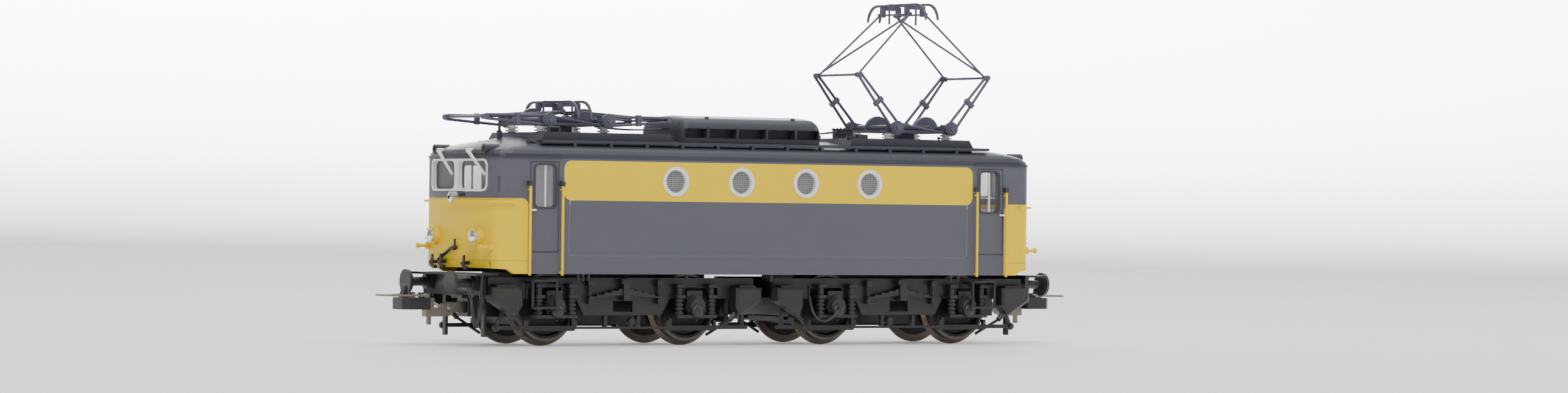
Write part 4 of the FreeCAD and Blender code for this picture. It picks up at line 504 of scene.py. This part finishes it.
def wheel_finish(axle):
    """Turned bare tyre outside a blackened wheel disc. The tyre colour is darker than bare
    steel: painted shade under the body.
    """
    disc_radius = 6.6 * MM
    p = paint()
    finish = Finish("Wheel", 0.36, spread=0.25, fine=9000.0, broad=400.0, bump=0.03)
    x, _, z = finish.axes()
    tyre = finish.maths("SUBTRACT", 1.0, finish.disc(x, z, (axle.x, axle.z), disc_radius))
    finish.shade({"Metallic": finish.maths("MULTIPLY", tyre, 0.9)})
    # The tyre colour carries painted shade from under the body
    return finish.colour(finish.mix(tyre, finish.cloud(p.black, 0.3),
                                    finish.cloud(p.shaded_steel, 0.35)))


def lamp_finish():
    """Yellow lamp housings round chrome reflectors; the upper lamp is all chrome."""
    reflector, headlamps_high = 1.42 * MM, 6 * MM
    p = paint()
    finish = Finish("Lamps", 0.3, spread=0.1, broad=400.0)
    _, y, z = finish.axes()
    centre = (HEADLAMP[1] * MM, HEADLAMP[2] * MM)
    lens = finish.disc(finish.maths("ABSOLUTE", y), z, centre, reflector)
    upper = finish.maths("GREATER_THAN", z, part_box("lamps")[0].z + headlamps_high)
    mask = finish.maths("MAXIMUM", lens, upper)
    finish.shade({"Metallic": finish.maths("MULTIPLY", mask, 0.95)})
    return finish.colour(finish.mix(mask, p.yellow, p.chrome))


def rail_finish():
    """Yellow upright rails with dark brackets over their top ends."""
    bracket = 1.05 * MM
    p = paint()
    finish = Finish("Grab rails", 0.38, broad=200.0)
    mask = finish.maths("GREATER_THAN", finish.axes()[2],
                        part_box("grab_rails")[1].z - bracket)
    return finish.colour(finish.mix(mask, finish.cloud(p.yellow, 0.04), p.roof_grey))


def inside_finish():
    """Dark cab moulding with a white ribbed patch on the desk. The patch is painted light of
    the bright backdrop seen through the far door window, and the whole moulding glows a little
    as painted light.
    """
    painted_window_light_low, painted_window_light_front = 29.9 * MM, 57.6 * MM
    rib_pitch, rib_start, rib_half = 1.07 * MM, 0.3 * MM, 0.09 * MM
    p = paint()
    finish = Finish("Cab moulding with painted light", 0.5, broad=150.0)
    maths = finish.maths
    x, y, z = finish.axes()
    # Painted light: the white ribbed patch stands for the bright backdrop seen through the far
    # door window
    painted_window_light = maths("MULTIPLY", maths("GREATER_THAN", z, painted_window_light_low),
                    maths("GREATER_THAN", maths("ABSOLUTE", x), painted_window_light_front))
    wave = maths("PINGPONG", maths("ADD", y, rib_start), rib_pitch)
    white = finish.mix(maths("LESS_THAN", wave, rib_half), p.painted_window_light, (0.03, 0.03, 0.035))
    source = finish.mix(painted_window_light, finish.cloud(p.inside, 0.15), white)
    # Painted light: the cab moulding glows by itself, standing for daylight coming in through
    # the windows
    finish.shade({"Emission Color": source, "Emission Strength": 0.4})
    return finish.colour(source)


def grille_finish():
    """Fine woven mesh behind the round windows."""
    pitch, wire_half = 0.42 * MM, 0.063 * MM
    finish = Finish("Window mesh", 0.5, bump=0.0)
    x, _, z = finish.axes()
    lines = [finish.maths("LESS_THAN", finish.maths("PINGPONG", place, pitch / 2), wire_half)
             for place in (x, z)]
    wire = finish.maths("MAXIMUM", *lines)
    return finish.colour(finish.mix(wire, (0.12, 0.11, 0.105), (0.34, 0.33, 0.32)))


# Modelling helpers

def middle(node):
    """The middle of a carried-over piece."""
    low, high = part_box(node)
    return (low + high) / 2


def spot(place, end=1, side=1):
    """A place in millimetres, mirrored to an end and a side."""
    return Vector((place[0] * end, place[1] * side, place[2])) * MM


def select_only(*things):
    """Object mode with only these pieces selected."""
    if bpy.context.mode != "OBJECT":
        bpy.ops.object.mode_set(mode="OBJECT")
    bpy.ops.object.select_all(action="DESELECT")
    for thing in things:
        thing.select_set(True)
    bpy.context.view_layer.objects.active = things[0]


def begin_edit(piece, mode="FACE"):
    """Edit mode with everything selected."""
    select_only(piece)
    bpy.ops.object.mode_set(mode="EDIT")
    bpy.ops.mesh.select_mode(type=mode)
    bpy.ops.mesh.select_all(action="SELECT")


def end_edit():
    """Merges doubles, turns the faces outward and leaves edit mode."""
    bpy.ops.mesh.select_all(action="SELECT")
    bpy.ops.mesh.remove_doubles(threshold=0.001 * MM)
    bpy.ops.mesh.normals_make_consistent(inside=False)
    bpy.ops.object.mode_set(mode="OBJECT")


def pick(piece, mode, wanted):
    """Edit mode with only the vertices in wanted places, or the edges between them."""
    begin_edit(piece, mode)
    bpy.ops.mesh.select_all(action="DESELECT")
    bpy.ops.object.mode_set(mode="OBJECT")
    points = piece.data.vertices
    for point in points:
        point.select = wanted(point.co)
    for edge in piece.data.edges:
        edge.select = all(points[index].select for index in edge.vertices)
    bpy.ops.object.mode_set(mode="EDIT")


def extrude(z):
    """Moves the selected faces up as new faces."""
    bpy.ops.mesh.extrude_region_move(TRANSFORM_OT_translate={"value": (0, 0, z)})


def apply_all():
    """Puts place, turn and scale into the mesh."""
    bpy.ops.object.transform_apply(location=True, rotation=True, scale=True)


def apply_modifier(piece, modifier):
    """Puts a modifier into the mesh."""
    select_only(piece)
    bpy.ops.object.modifier_apply(modifier=modifier.name)


def turned(shape, radius, sides=20):
    """A closed solid turned about Z from shares of the radius."""
    bpy.ops.mesh.primitive_circle_add(vertices=sides, radius=radius * shape[0][0],
                                      fill_type="NGON", location=(0, 0, radius * shape[0][1]))
    piece = bpy.context.object
    apply_all()
    begin_edit(piece)
    for (wide, low), (next_wide, high) in zip(shape, shape[1:]):
        extrude(radius * (high - low))
        share = next_wide / wide
        bpy.ops.transform.resize(value=(share, share, 1), center_override=(0, 0, 0))
    end_edit()
    return piece


def ringed(shape, radius, circle, count, sides=8):
    """Copies of a small turned solid round Z."""
    piece = turned(shape, radius, sides)
    piece.location = (circle, 0, 0)
    apply_all()
    begin_edit(piece)
    bpy.ops.mesh.spin(steps=count - 1, dupli=True, angle=math.tau * (count - 1) / count,
                      center=(0, 0, 0), axis=(0, 0, 1))
    end_edit()
    return piece


def rowed(shape, radius, count, step, sides=8):
    """Copies of a small turned solid in a row along X."""
    piece = turned(shape, radius, sides)
    array = piece.modifiers.new("Row", "ARRAY")
    array.count = count
    array.use_relative_offset = False
    array.use_constant_offset = True
    array.constant_offset_displace = (step, 0, 0)
    apply_modifier(piece, array)
    return piece


def rounded_plate(width, height, corner):
    """A flat plate with round corners, open in edit mode with its face selected."""
    bpy.ops.mesh.primitive_plane_add(size=1)
    piece = bpy.context.object
    piece.scale = (width, height, 1)
    apply_all()
    begin_edit(piece, "VERT")
    bpy.ops.mesh.bevel(offset=corner, segments=5, affect="VERTICES")
    bpy.ops.mesh.select_mode(type="FACE")
    bpy.ops.mesh.select_all(action="SELECT")
    return piece


def rounded_block(width, height, corner, depth):
    """A rounded plate with a thickness."""
    piece = rounded_plate(width, height, corner)
    extrude(depth)
    end_edit()
    return piece


def rounded_ring(width, height, corner, band, depth):
    """A rounded frame round an opening."""
    piece = rounded_plate(width, height, corner)
    bpy.ops.mesh.inset(thickness=band, depth=0)
    bpy.ops.mesh.delete(type="FACE")
    bpy.ops.mesh.select_all(action="SELECT")
    extrude(depth)
    end_edit()
    return piece


def coil(radius, wire, pitch, turns):
    """A helical spring about Z that starts at the bottom."""
    sides = 6
    bpy.ops.mesh.primitive_circle_add(vertices=sides, radius=wire, location=(radius, 0, 0),
                                      rotation=(math.pi / 2, 0, 0))
    piece = bpy.context.object
    apply_all()
    screw = piece.modifiers.new("Coil", "SCREW")
    screw.axis = "Z"
    screw.angle = math.tau
    screw.screw_offset = pitch
    screw.iterations = turns
    screw.steps = screw.render_steps = 10
    apply_modifier(piece, screw)
    begin_edit(piece, "EDGE")
    bpy.ops.mesh.fill_holes(sides=sides)
    end_edit()
    return piece


def cable(points, radius):
    """A round cable through five points that eases through the inner three."""
    bpy.ops.curve.primitive_nurbs_path_add()
    piece = bpy.context.object
    curve = piece.data
    for point, place in zip(curve.splines[0].points, points):
        point.co = (*place, 1.0)
    curve.splines[0].resolution_u = 6
    curve.bevel_depth = radius
    curve.bevel_resolution = 1
    curve.use_fill_caps = True
    select_only(piece)
    bpy.ops.object.convert(target="MESH")
    begin_edit(piece)
    end_edit()
    return piece


def rod(start, end, radius):
    """A straight round rod between two points."""
    return cable([start.lerp(end, share) for share in (0, 0.25, 0.5, 0.75, 1)], radius)


def trimmed(node, unwanted):
    """A copy of a carried-over piece without the vertices in unwanted places."""
    piece = bpy.data.objects.new(node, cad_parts[node].data.copy())
    bpy.context.collection.objects.link(piece)
    begin_edit(piece)
    end_edit()
    pick(piece, "VERT", lambda place: unwanted(place / MM))
    bpy.ops.mesh.delete(type="VERT")
    bpy.ops.mesh.select_all(action="SELECT")
    bpy.ops.mesh.fill_holes(sides=0)
    end_edit()
    return piece


TURNS = {"z": (0, 0, 0), "x": (0, math.pi / 2, 0), "-x": (0, -math.pi / 2, 0),
         "y": (-math.pi / 2, 0, 0), "-y": (math.pi / 2, 0, 0)}


def put(piece, place, axis="z"):
    """Turns a piece made along Z to an axis and puts it in its place."""
    piece.rotation_euler = TURNS[axis]
    piece.location = place
    return piece


def outward(axis, sign):
    """The name of an axis that points away from the middle."""
    return axis if sign > 0 else "-" + axis


def dress(piece, material, smooth):
    """Gives a piece its material and smooth shading up to an angle."""
    select_only(piece)
    piece.data.materials.clear()
    piece.data.materials.append(material)
    bpy.ops.object.shade_smooth_by_angle(angle=smooth)


def settle(pieces, name, finish, body):
    """Joins new pieces into one and gives it a finish and a body."""
    select_only(*pieces)
    apply_all()
    if len(pieces) > 1:
        bpy.ops.object.join()
    piece = bpy.context.object
    piece.name = piece.data.name = name
    dress(piece, FINISHES[finish], FITTING_SMOOTH)
    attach(piece, body)
    return piece


class LOCO_OT_stage(bpy.types.Operator):
    """Floor, soft light and the camera at the photo's angle"""

    bl_idname = "loco.stage"
    bl_label = "Stage"

    def execute(self, context):
        s = context.scene.loco_stage
        floor = self.sweep(s)
        finish = Finish("Pale floor", 0.8, spread=0.1, fine=900.0, broad=20.0, bump=0.01)
        floor.data.materials.append(finish.colour(finish.cloud(s.floor, 0.01)))
        finish.shade({"Emission Color": WHITE, "Emission Strength": s.glow})
        finish.one_sided()
        self.surround(context, s)
        for name, place, target, size, setting, share in LIGHTS:
            bpy.ops.object.light_add(type="AREA", location=place)
            lamp = context.object
            lamp.name = name
            lamp.data.size = size
            lamp.data.energy = getattr(s, setting) * share
            aim = Vector(target) - Vector(place)
            lamp.rotation_euler = aim.to_track_quat("-Z", "Y").to_euler()
        self.camera(context, s)
        return {"FINISHED"}

    def sweep(self, s):
        """A floor whose far edge rises as a backdrop, turned to the view."""
        bpy.ops.mesh.primitive_plane_add(size=2 * s.sweep_far)
        floor = bpy.context.object
        floor.name = "floor"
        pick(floor, "EDGE", lambda place: place.y > 0)
        extrude(s.sweep_high)
        pick(floor, "EDGE", lambda place: place.y > 0 and place.z == 0)
        bpy.ops.mesh.bevel(offset=s.sweep_bend, segments=24, affect="EDGES")
        select_only(floor)
        floor.rotation_euler = (0, 0, -s.yaw)
        apply_all()
        bpy.ops.object.shade_smooth()
        return floor

    def surround(self, context, s):
        """Soft white light from all round, brighter where the camera sees it."""
        world = bpy.data.worlds.new("Soft surround")
        world.use_nodes = True
        tree = world.node_tree
        seen = add_node(tree, "LightPath").outputs["Is Camera Ray"]
        feed(tree, tree.nodes["Background"], {
            "Color": WHITE,
            "Strength": math_node(tree, "MULTIPLY_ADD", seen, s.surround - s.sky, s.sky)})
        context.scene.world = world

    def camera(self, context, s):
        """Camera at the photo's place, turn, tilt and roll."""
        ahead = Vector((math.sin(s.yaw) * math.cos(s.pitch),
                        math.cos(s.yaw) * math.cos(s.pitch), math.sin(s.pitch)))
        right = Vector((math.cos(s.yaw), -math.sin(s.yaw), 0))
        up = right.cross(ahead)
        picture_right = right * math.cos(s.roll) + up * math.sin(s.roll)
        picture_up = up * math.cos(s.roll) - right * math.sin(s.roll)
        turn = Matrix((picture_right, picture_up, -ahead)).transposed()
        bpy.ops.object.camera_add(location=s.eye)
        camera = context.object
        camera.name = "photo_camera"
        camera.rotation_euler = turn.to_euler()
        camera.data.sensor_width = 36.0
        camera.data.lens = s.lens
        camera.data.clip_start = 0.01
        camera.data.clip_end = 100.0
        context.scene.camera = camera


class LOCO_OT_finishes(bpy.types.Operator):
    """Finish of every carried-over piece"""

    bl_idname = "loco.finishes"
    bl_label = "Finishes"

    def execute(self, context):
        p = paint()
        FINISHES.update({
            "roof": plain_finish("Roof paint", p.roof_grey, 0.42, share=0.06, dust_and_top_light=0.05,
                                 fine=6000.0, broad=70.0, bump=0.015),
            # The black gear gets the most: its pale tops are partly dust, partly painted top
            # light for its lit upper edges
            "black": plain_finish("Running gear black", p.black, 0.4, share=0.35, dust_and_top_light=0.14,
                                  spread=0.2, broad=260.0, bump=0.05, gloss=0.6),
            "rubber": plain_finish("Rubber", p.rubber, 0.6, share=0.2, broad=300.0),
            "gasket": plain_finish("Window seal", p.gasket, 0.5, share=0.1, broad=300.0),
            "pantograph": plain_finish("Pantograph paint", p.pantograph, 0.42, share=0.14,
                                       dust_and_top_light=0.05, broad=300.0, bump=0.03),
            "cast": plain_finish("Cast coupler metal", p.cast, 0.42, share=0.3, metallic=0.85,
                                 spread=0.25, broad=500.0, bump=0.08),
            "silver": plain_finish("Silver trim", p.silver, 0.3, share=0.03, metallic=0.15,
                                   broad=300.0, bump=0.02),
            "chrome": plain_finish("Chrome", p.chrome, 0.12, share=0.12, metallic=1.0,
                                   broad=900.0, bump=0.01),
            "yellow": plain_finish("Yellow plastic", p.yellow, 0.38, share=0.04, broad=200.0),
            "white": plain_finish("White insulator", p.insulator, 0.3, share=0.04,
                                  broad=300.0),
            "body": body_finish(), "glass": glass_finish(), "mesh": grille_finish(),
            "lamps": lamp_finish(), "rails": rail_finish(), "inside": inside_finish(),
        })
        for node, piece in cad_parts.items():
            if node in AXLES:
                material = wheel_finish(middle(node))
            else:
                material = FINISHES[next((key for start, key in NODE_FINISHES
                                          if node.startswith(start)), "black")]
            dress(piece, material, CAD_SMOOTH)
        return {"FINISHED"}


class LOCO_OT_gaskets(bpy.types.Operator):
    """Dark rubber round the door windows, and thin dark blocks on the nose that are painted
    shade for the small slots
    """

    bl_idname = "loco.gaskets"
    bl_label = "Gaskets and slots"

    def execute(self, context):
        window_x, window_z = 55.65 * MM, 33.5 * MM
        sunk, gasket_depth, slot_shade_depth = 0.03 * MM, 0.12 * MM, 0.15 * MM
        f = fittings()
        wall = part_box("body_shell")[1].y
        rings = []
        for side in SIDES:
            for end in SIDES:
                ring = rounded_ring(f.gasket_width, f.gasket_height, f.gasket_corner,
                                    f.gasket_band, gasket_depth)
                place = (end * window_x, side * (wall - sunk), window_z)
                rings.append(put(ring, place, outward("y", side)))
        settle(rings, "door_window_gaskets", "gasket", "body")
        # Painted shade: each nose slot is a thin dark block on the nose face
        slot_shades = []
        for end in SIDES:
            slot = rounded_block(f.slot_height, f.slot_width, f.slot_height * 0.49, slot_shade_depth)
            slot_shades.append(put(slot, spot(NOSE_SLOT, end, end), outward("x", end)))
        settle(slot_shades, "nose_slot_shades", "rubber", "body")
        return {"FINISHED"}


class LOCO_OT_lamps(bpy.types.Operator):
    """Lenses, bezels and knobs of the headlamps, the upper lamps and the marker lamps"""

    bl_idname = "loco.lamps"
    bl_label = "Lamps"

    def execute(self, context):
        upper_share, bulb_share, knob_count = 0.75, 0.3, 10
        f = fittings()
        lenses, knobs, bulbs, markers = [], [], [], []
        for end in SIDES:
            axis = outward("x", end)
            for side in SIDES:
                lens = turned(DOME, f.lens_radius, 24)
                lenses.append(put(lens, spot(HEADLAMP, end, side), axis))
                ring = ringed(BOLT, f.bolt_radius, f.bezel_circle, knob_count)
                knobs.append(put(ring, spot(LAMP_KNOBS, end, side), axis))
                marker = turned(DOME, f.marker_radius, 16)
                markers.append(put(marker, spot(MARKER_LAMP, end, side), axis))
            lens = turned(DOME, f.lens_radius * upper_share, 24)
            lenses.append(put(lens, spot(UPPER_LAMP, end), axis))
            bulb = turned(DOME, f.lens_radius * bulb_share, 12)
            bulbs.append(put(bulb, spot(UPPER_BULB, end), axis))
        settle(lenses, "lamp_lenses", "chrome", "body")
        settle(knobs, "lamp_knobs", "yellow", "body")
        settle(bulbs, "upper_lamp_bulbs", "rubber", "body")
        settle(markers, "marker_lenses", "rubber", "body")
        return {"FINISHED"}


class LOCO_OT_axle_covers(bpy.types.Operator):
    """Domed covers with rings of bolts on the axle boxes"""

    bl_idname = "loco.axle_covers"
    bl_label = "Axle covers"

    def execute(self, context):
        cover_sunk, bolts_sunk, below_axle = 0.02 * MM, 0.5 * MM, 0.76 * MM
        f = fittings()
        found = {end: [] for end in ENDS}
        for axle, end in AXLES.items():
            centre = middle(axle)
            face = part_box("axle_boxes_" + end)[1].y
            for side in SIDES:
                for piece, sunk in (
                        (turned(COVER, f.cover_radius, 24), cover_sunk),
                        (ringed(BOLT, f.bolt_radius, f.cover_circle, 8), bolts_sunk)):
                    place = (centre.x, side * (face - sunk), centre.z - below_axle)
                    found[end].append(put(piece, place, outward("y", side)))
        for end, pieces in found.items():
            settle(pieces, "axle_covers_" + end, "black", "bogie_" + end)
        return {"FINISHED"}


class LOCO_OT_cables(bpy.types.Operator):
    """Cables to the axle boxes of each bogie and between hood and pantographs"""

    bl_idname = "loco.cables"
    bl_label = "Cables"

    def execute(self, context):
        boss_radius = 0.55 * MM
        f = fittings()
        for end, sign in ENDS.items():
            pieces = []
            for points in AXLE_CABLES:
                pieces.append(cable([spot(point, sign, sign) for point in points],
                                    f.cable_radius))
                start = spot((points[0][0], CABLE_BOSS_Y, points[0][2]), sign, sign)
                boss = turned(BOSS, boss_radius, 12)
                pieces.append(put(boss, start, outward("y", -sign)))
            settle(pieces, "axle_cables_" + end, "black", "bogie_" + end)
        leads = []
        for start, finish in ROOF_LEADS:
            for side in SIDES:
                points = [spot((start + (finish - start) * share, LEAD_Y, z), side=side)
                          for share, z in LEAD_SAG]
                leads.append(cable(points, f.cable_radius * 0.8))
        settle(leads, "roof_leads", "pantograph", "body")
        return {"FINISHED"}


class LOCO_OT_roof_boxes(bpy.types.Operator):
    """Junction box, small boxes and knob on the rear roof, pivots of the wipers"""

    bl_idname = "loco.roof_boxes"
    bl_label = "Roof boxes"

    def execute(self, context):
        box_x, box_corner, small_corner, sunk = 27.6 * MM, 0.3 * MM, 0.2 * MM, 0.05 * MM
        bolts_x, bolts_y, bolts_z, bolt_step = 26.17 * MM, 1.4 * MM, 2.2 * MM, 0.95 * MM
        knob_x, knob_y, knob_radius = 47.0 * MM, -9.0 * MM, 0.42 * MM
        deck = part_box("roof_platforms")[1].z
        parts = []
        for wide, deep, low, high in JUNCTION_BOX:
            block = rounded_block(wide * MM, deep * MM, box_corner, (high - low) * MM)
            parts.append(put(block, (box_x, 0, deck + low * MM)))
        for side in SIDES:
            bolts = rowed(BOLT, fittings().bolt_radius, 4, bolt_step)
            parts.append(put(bolts, (bolts_x, side * bolts_y, deck + bolts_z)))
        for side in SIDES:
            for x, y, wide, deep, high in SMALL_BOXES:
                block = rounded_block(wide * MM, deep * MM, small_corner, high * MM)
                parts.append(put(block, (x * MM, side * y * MM, deck - sunk)))
        knob = turned(KNOB, knob_radius, 12)
        parts.append(put(knob, (knob_x, knob_y, deck - sunk)))
        settle(parts, "roof_boxes", "roof", "body")
        pivots = [put(turned(BOSS, knob_radius, 12), spot(place, end, -end),
                      outward("x", end))
                  for end in SIDES for place in WIPER_PIVOTS]
        settle(pivots, "wiper_pivots", "silver", "body")
        return {"FINISHED"}


class LOCO_OT_pantograph_fittings(bpy.types.Operator):
    """Hub discs on the lower arms, crossing rods and helical springs on the base"""

    bl_idname = "loco.pantograph_fittings"
    bl_label = "Pantograph fittings"

    def execute(self, context):
        hub_x, hub_y, shaft_z = 7.1 * MM, 9.3 * MM, 47.4 * MM
        rivet_circle, rivet_lift = 0.87, 0.2
        rod_start, rod_end, rod_radius = (-7.4, 8.2, 48.5), (7.2, 8.2, 46.35), 0.25 * MM
        spring_y, turns = 4.6 * MM, 20
        f = fittings()
        for end in ENDS:
            base = Vector((middle(f"pantograph_{end}_base").x, 0, 0))
            for arm, sign in (("a", -1), ("b", 1)):
                hubs = []
                for side in SIDES:
                    axis = outward("y", side)
                    place = base + Vector((sign * hub_x, side * hub_y, shaft_z))
                    hubs.append(put(turned(HUB, f.hub_radius, 20), place, axis))
                    ring = ringed(RIVET, f.rivet_radius, f.hub_radius * rivet_circle, 8)
                    lift = Vector((0, side * f.hub_radius * rivet_lift, 0))
                    hubs.append(put(ring, place + lift, axis))
                settle(hubs, f"pantograph_hubs_{end}_{arm}", "pantograph",
                       f"pantograph_{end}_lower_arm_{arm}")
            rods = [rod(base + spot(rod_start, side=side), base + spot(rod_end, side=side),
                        rod_radius) for side in SIDES]
            settle(rods, f"pantograph_links_{end}", "pantograph", "body")
            springs = []
            for side in SIDES:
                spring = coil(f.spring_radius, f.spring_wire, f.spring_pitch, turns)
                start = (base.x - f.spring_pitch * turns / 2, side * spring_y, shaft_z)
                springs.append(put(spring, start, "x"))
            settle(springs, f"pantograph_springs_{end}", "pantograph", "body")
        return {"FINISHED"}


class LOCO_OT_rivets(bpy.types.Operator):
    """Rivets on the buffer faces"""

    bl_idname = "loco.rivets"
    bl_label = "Rivets"

    def execute(self, context):
        buffer_y, sunk = 10.06 * MM, 0.03 * MM
        rings = ((1.75 * MM, 8), (0.9 * MM, 4))
        radius = fittings().rivet_radius * 0.8
        for end, sign in ENDS.items():
            low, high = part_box("buffers_" + end)
            face = low.x if sign < 0 else high.x
            pieces = []
            for side in SIDES:
                place = (face - sign * sunk, side * buffer_y, (low.z + high.z) / 2)
                for circle, count in rings:
                    ring = ringed(RIVET, radius, circle, count)
                    pieces.append(put(ring, place, outward("x", sign)))
            settle(pieces, "buffer_rivets_" + end, "black", "bogie_" + end)
        return {"FINISHED"}


class LOCO_OT_brake_rods(bpy.types.Operator):
    """Low brake rods, hangers, shoes and cross beams at both ends of each bogie"""

    bl_idname = "loco.brake_rods"
    bl_label = "Brake rods"

    def execute(self, context):
        # The rear bogie's places in millimetres; the front one is turned half round
        inner, outer = (middle(axle).x / MM for axle in ("wheelset_3", "wheelset_4"))
        plate_y, beam_y, rod_z = 11.5, 12.0, 3.9
        shoe_x, hanger_x = inner - 9.0, (inner - 12.7, inner - 8.7)
        runs = ((inner - 14.0, inner - 5.8), (outer + 5.8, outer + 13.0))
        beams = ((shoe_x, 4.9, 6.2, 0.9), (hanger_x[0], 6.4, 10.2, 0.5))
        hanger_size, hanger_y, hanger_z = (0.9 * MM, 6.7 * MM, 0.25 * MM), 11.65, 6.95
        shoe_size, shoe_y, shoe_z = (0.9 * MM, 4.2 * MM, 0.3 * MM, 2.2 * MM), 7.3, 7.2
        lever_x, lever_foot, lever_top = outer + 12.9, (0, 0.4, 0), (-2.6, 0.4, 6.3)
        lever_radius, joint_radius, beam_corner = 0.45 * MM, 0.8 * MM, 0.2 * MM
        f = fittings()
        for end, sign in ENDS.items():
            pieces = []
            for side in SIDES:
                axis = outward("y", side)
                mirrored = partial(spot, end=sign, side=side)
                for start, finish in runs:
                    bar = rounded_block((finish - start) * MM, f.rod_height,
                                        f.rod_height * 0.3, f.rod_depth)
                    place = mirrored(((start + finish) / 2, plate_y, rod_z))
                    pieces.append(put(bar, place, axis))
                for x in hanger_x:
                    hanger = rounded_block(*hanger_size, f.rod_depth * 0.7)
                    pieces.append(put(hanger, mirrored((x, hanger_y, hanger_z)), axis))
                shoe = rounded_block(*shoe_size)
                pieces.append(put(shoe, mirrored((shoe_x, shoe_y, shoe_z)), axis))
                joint = mirrored((lever_x, plate_y, rod_z))
                pieces.append(rod(joint + mirrored(lever_foot), joint + mirrored(lever_top),
                                  lever_radius))
                pieces.append(put(turned(BOSS, joint_radius, 16), joint, axis))
            for x, low, high, wide in beams:
                beam = rounded_block(wide * MM, (high - low) * MM, beam_corner,
                                     2 * beam_y * MM)
                pieces.append(put(beam, spot((x, -beam_y, (low + high) / 2), sign), "y"))
            settle(pieces, "brake_rods_" + end, "black", "bogie_" + end)
        return {"FINISHED"}


class LOCO_OT_beam_plates(bpy.types.Operator):
    """Buffer beams that keep only the air hose at the corner where the model has one"""

    bl_idname = "loco.beam_plates"
    bl_label = "Buffer beams"

    def execute(self, context):
        hose_y, hose_top = 13.3, 14.74
        for end, sign in ENDS.items():
            node = "buffer_beam_" + end
            piece = trimmed(node, lambda at: at.y * sign < -hose_y and at.z < hose_top)
            settle([piece], node + "_plate", "black", "bogie_" + end)
            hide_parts(node)
        return {"FINISHED"}


class LOCO_OT_nose_taps(bpy.types.Operator):
    """Nose pipes that end at a tap in the middle of the nose"""

    bl_idname = "loco.nose_taps"
    bl_label = "Nose taps"

    def execute(self, context):
        nose_x, gap_start, gap_end = 60, 0.9, 3.1
        body_radius, lever_radius = 0.55 * MM, 0.24 * MM
        pieces = [trimmed("air_hoses", lambda at: abs(at.x) > nose_x and
                          gap_start < at.y * math.copysign(1, at.x) < gap_end)]
        for end in SIDES:
            place = spot(NOSE_TAP, end, end)
            pieces.append(put(turned(BOSS, body_radius, 12), place, outward("y", end)))
            lever = turned(TAP_LEVER, lever_radius, 8)
            pieces.append(put(lever, place + spot(LEVER_FOOT, side=end)))
        piece = settle(pieces, "nose_hoses", "black", "body")
        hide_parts("air_hoses")
        return {"FINISHED"}


class LOCO_PT_panel(bpy.types.Panel):
    """Steps that dress the locomotive"""

    bl_label = "Locomotive"
    bl_idname = "LOCO_PT_panel"
    bl_space_type = "VIEW_3D"
    bl_region_type = "UI"
    bl_category = "Locomotive"

    def draw(self, context):
        for operator in STEPS:
            self.layout.operator(operator.bl_idname)


STEPS = (LOCO_OT_stage, LOCO_OT_finishes, LOCO_OT_gaskets, LOCO_OT_lamps,
         LOCO_OT_axle_covers, LOCO_OT_cables, LOCO_OT_roof_boxes,
         LOCO_OT_pantograph_fittings, LOCO_OT_rivets, LOCO_OT_brake_rods,
         LOCO_OT_beam_plates, LOCO_OT_nose_taps)
CLASSES = (PaintSettings, StageSettings, FittingSettings, *STEPS, LOCO_PT_panel)


def register():
    for item in CLASSES:
        bpy.utils.register_class(item)
    bpy.types.Scene.loco_paint = PointerProperty(type=PaintSettings)
    bpy.types.Scene.loco_stage = PointerProperty(type=StageSettings)
    bpy.types.Scene.loco_fittings = PointerProperty(type=FittingSettings)


def unregister():
    del bpy.types.Scene.loco_fittings
    del bpy.types.Scene.loco_stage
    del bpy.types.Scene.loco_paint
    for item in reversed(CLASSES):
        bpy.utils.unregister_class(item)


def main():
    register()
    for operator in STEPS:
        group, name = operator.bl_idname.split(".")
        getattr(getattr(bpy.ops, group), name)()


if __name__ == "__main__":
    main()
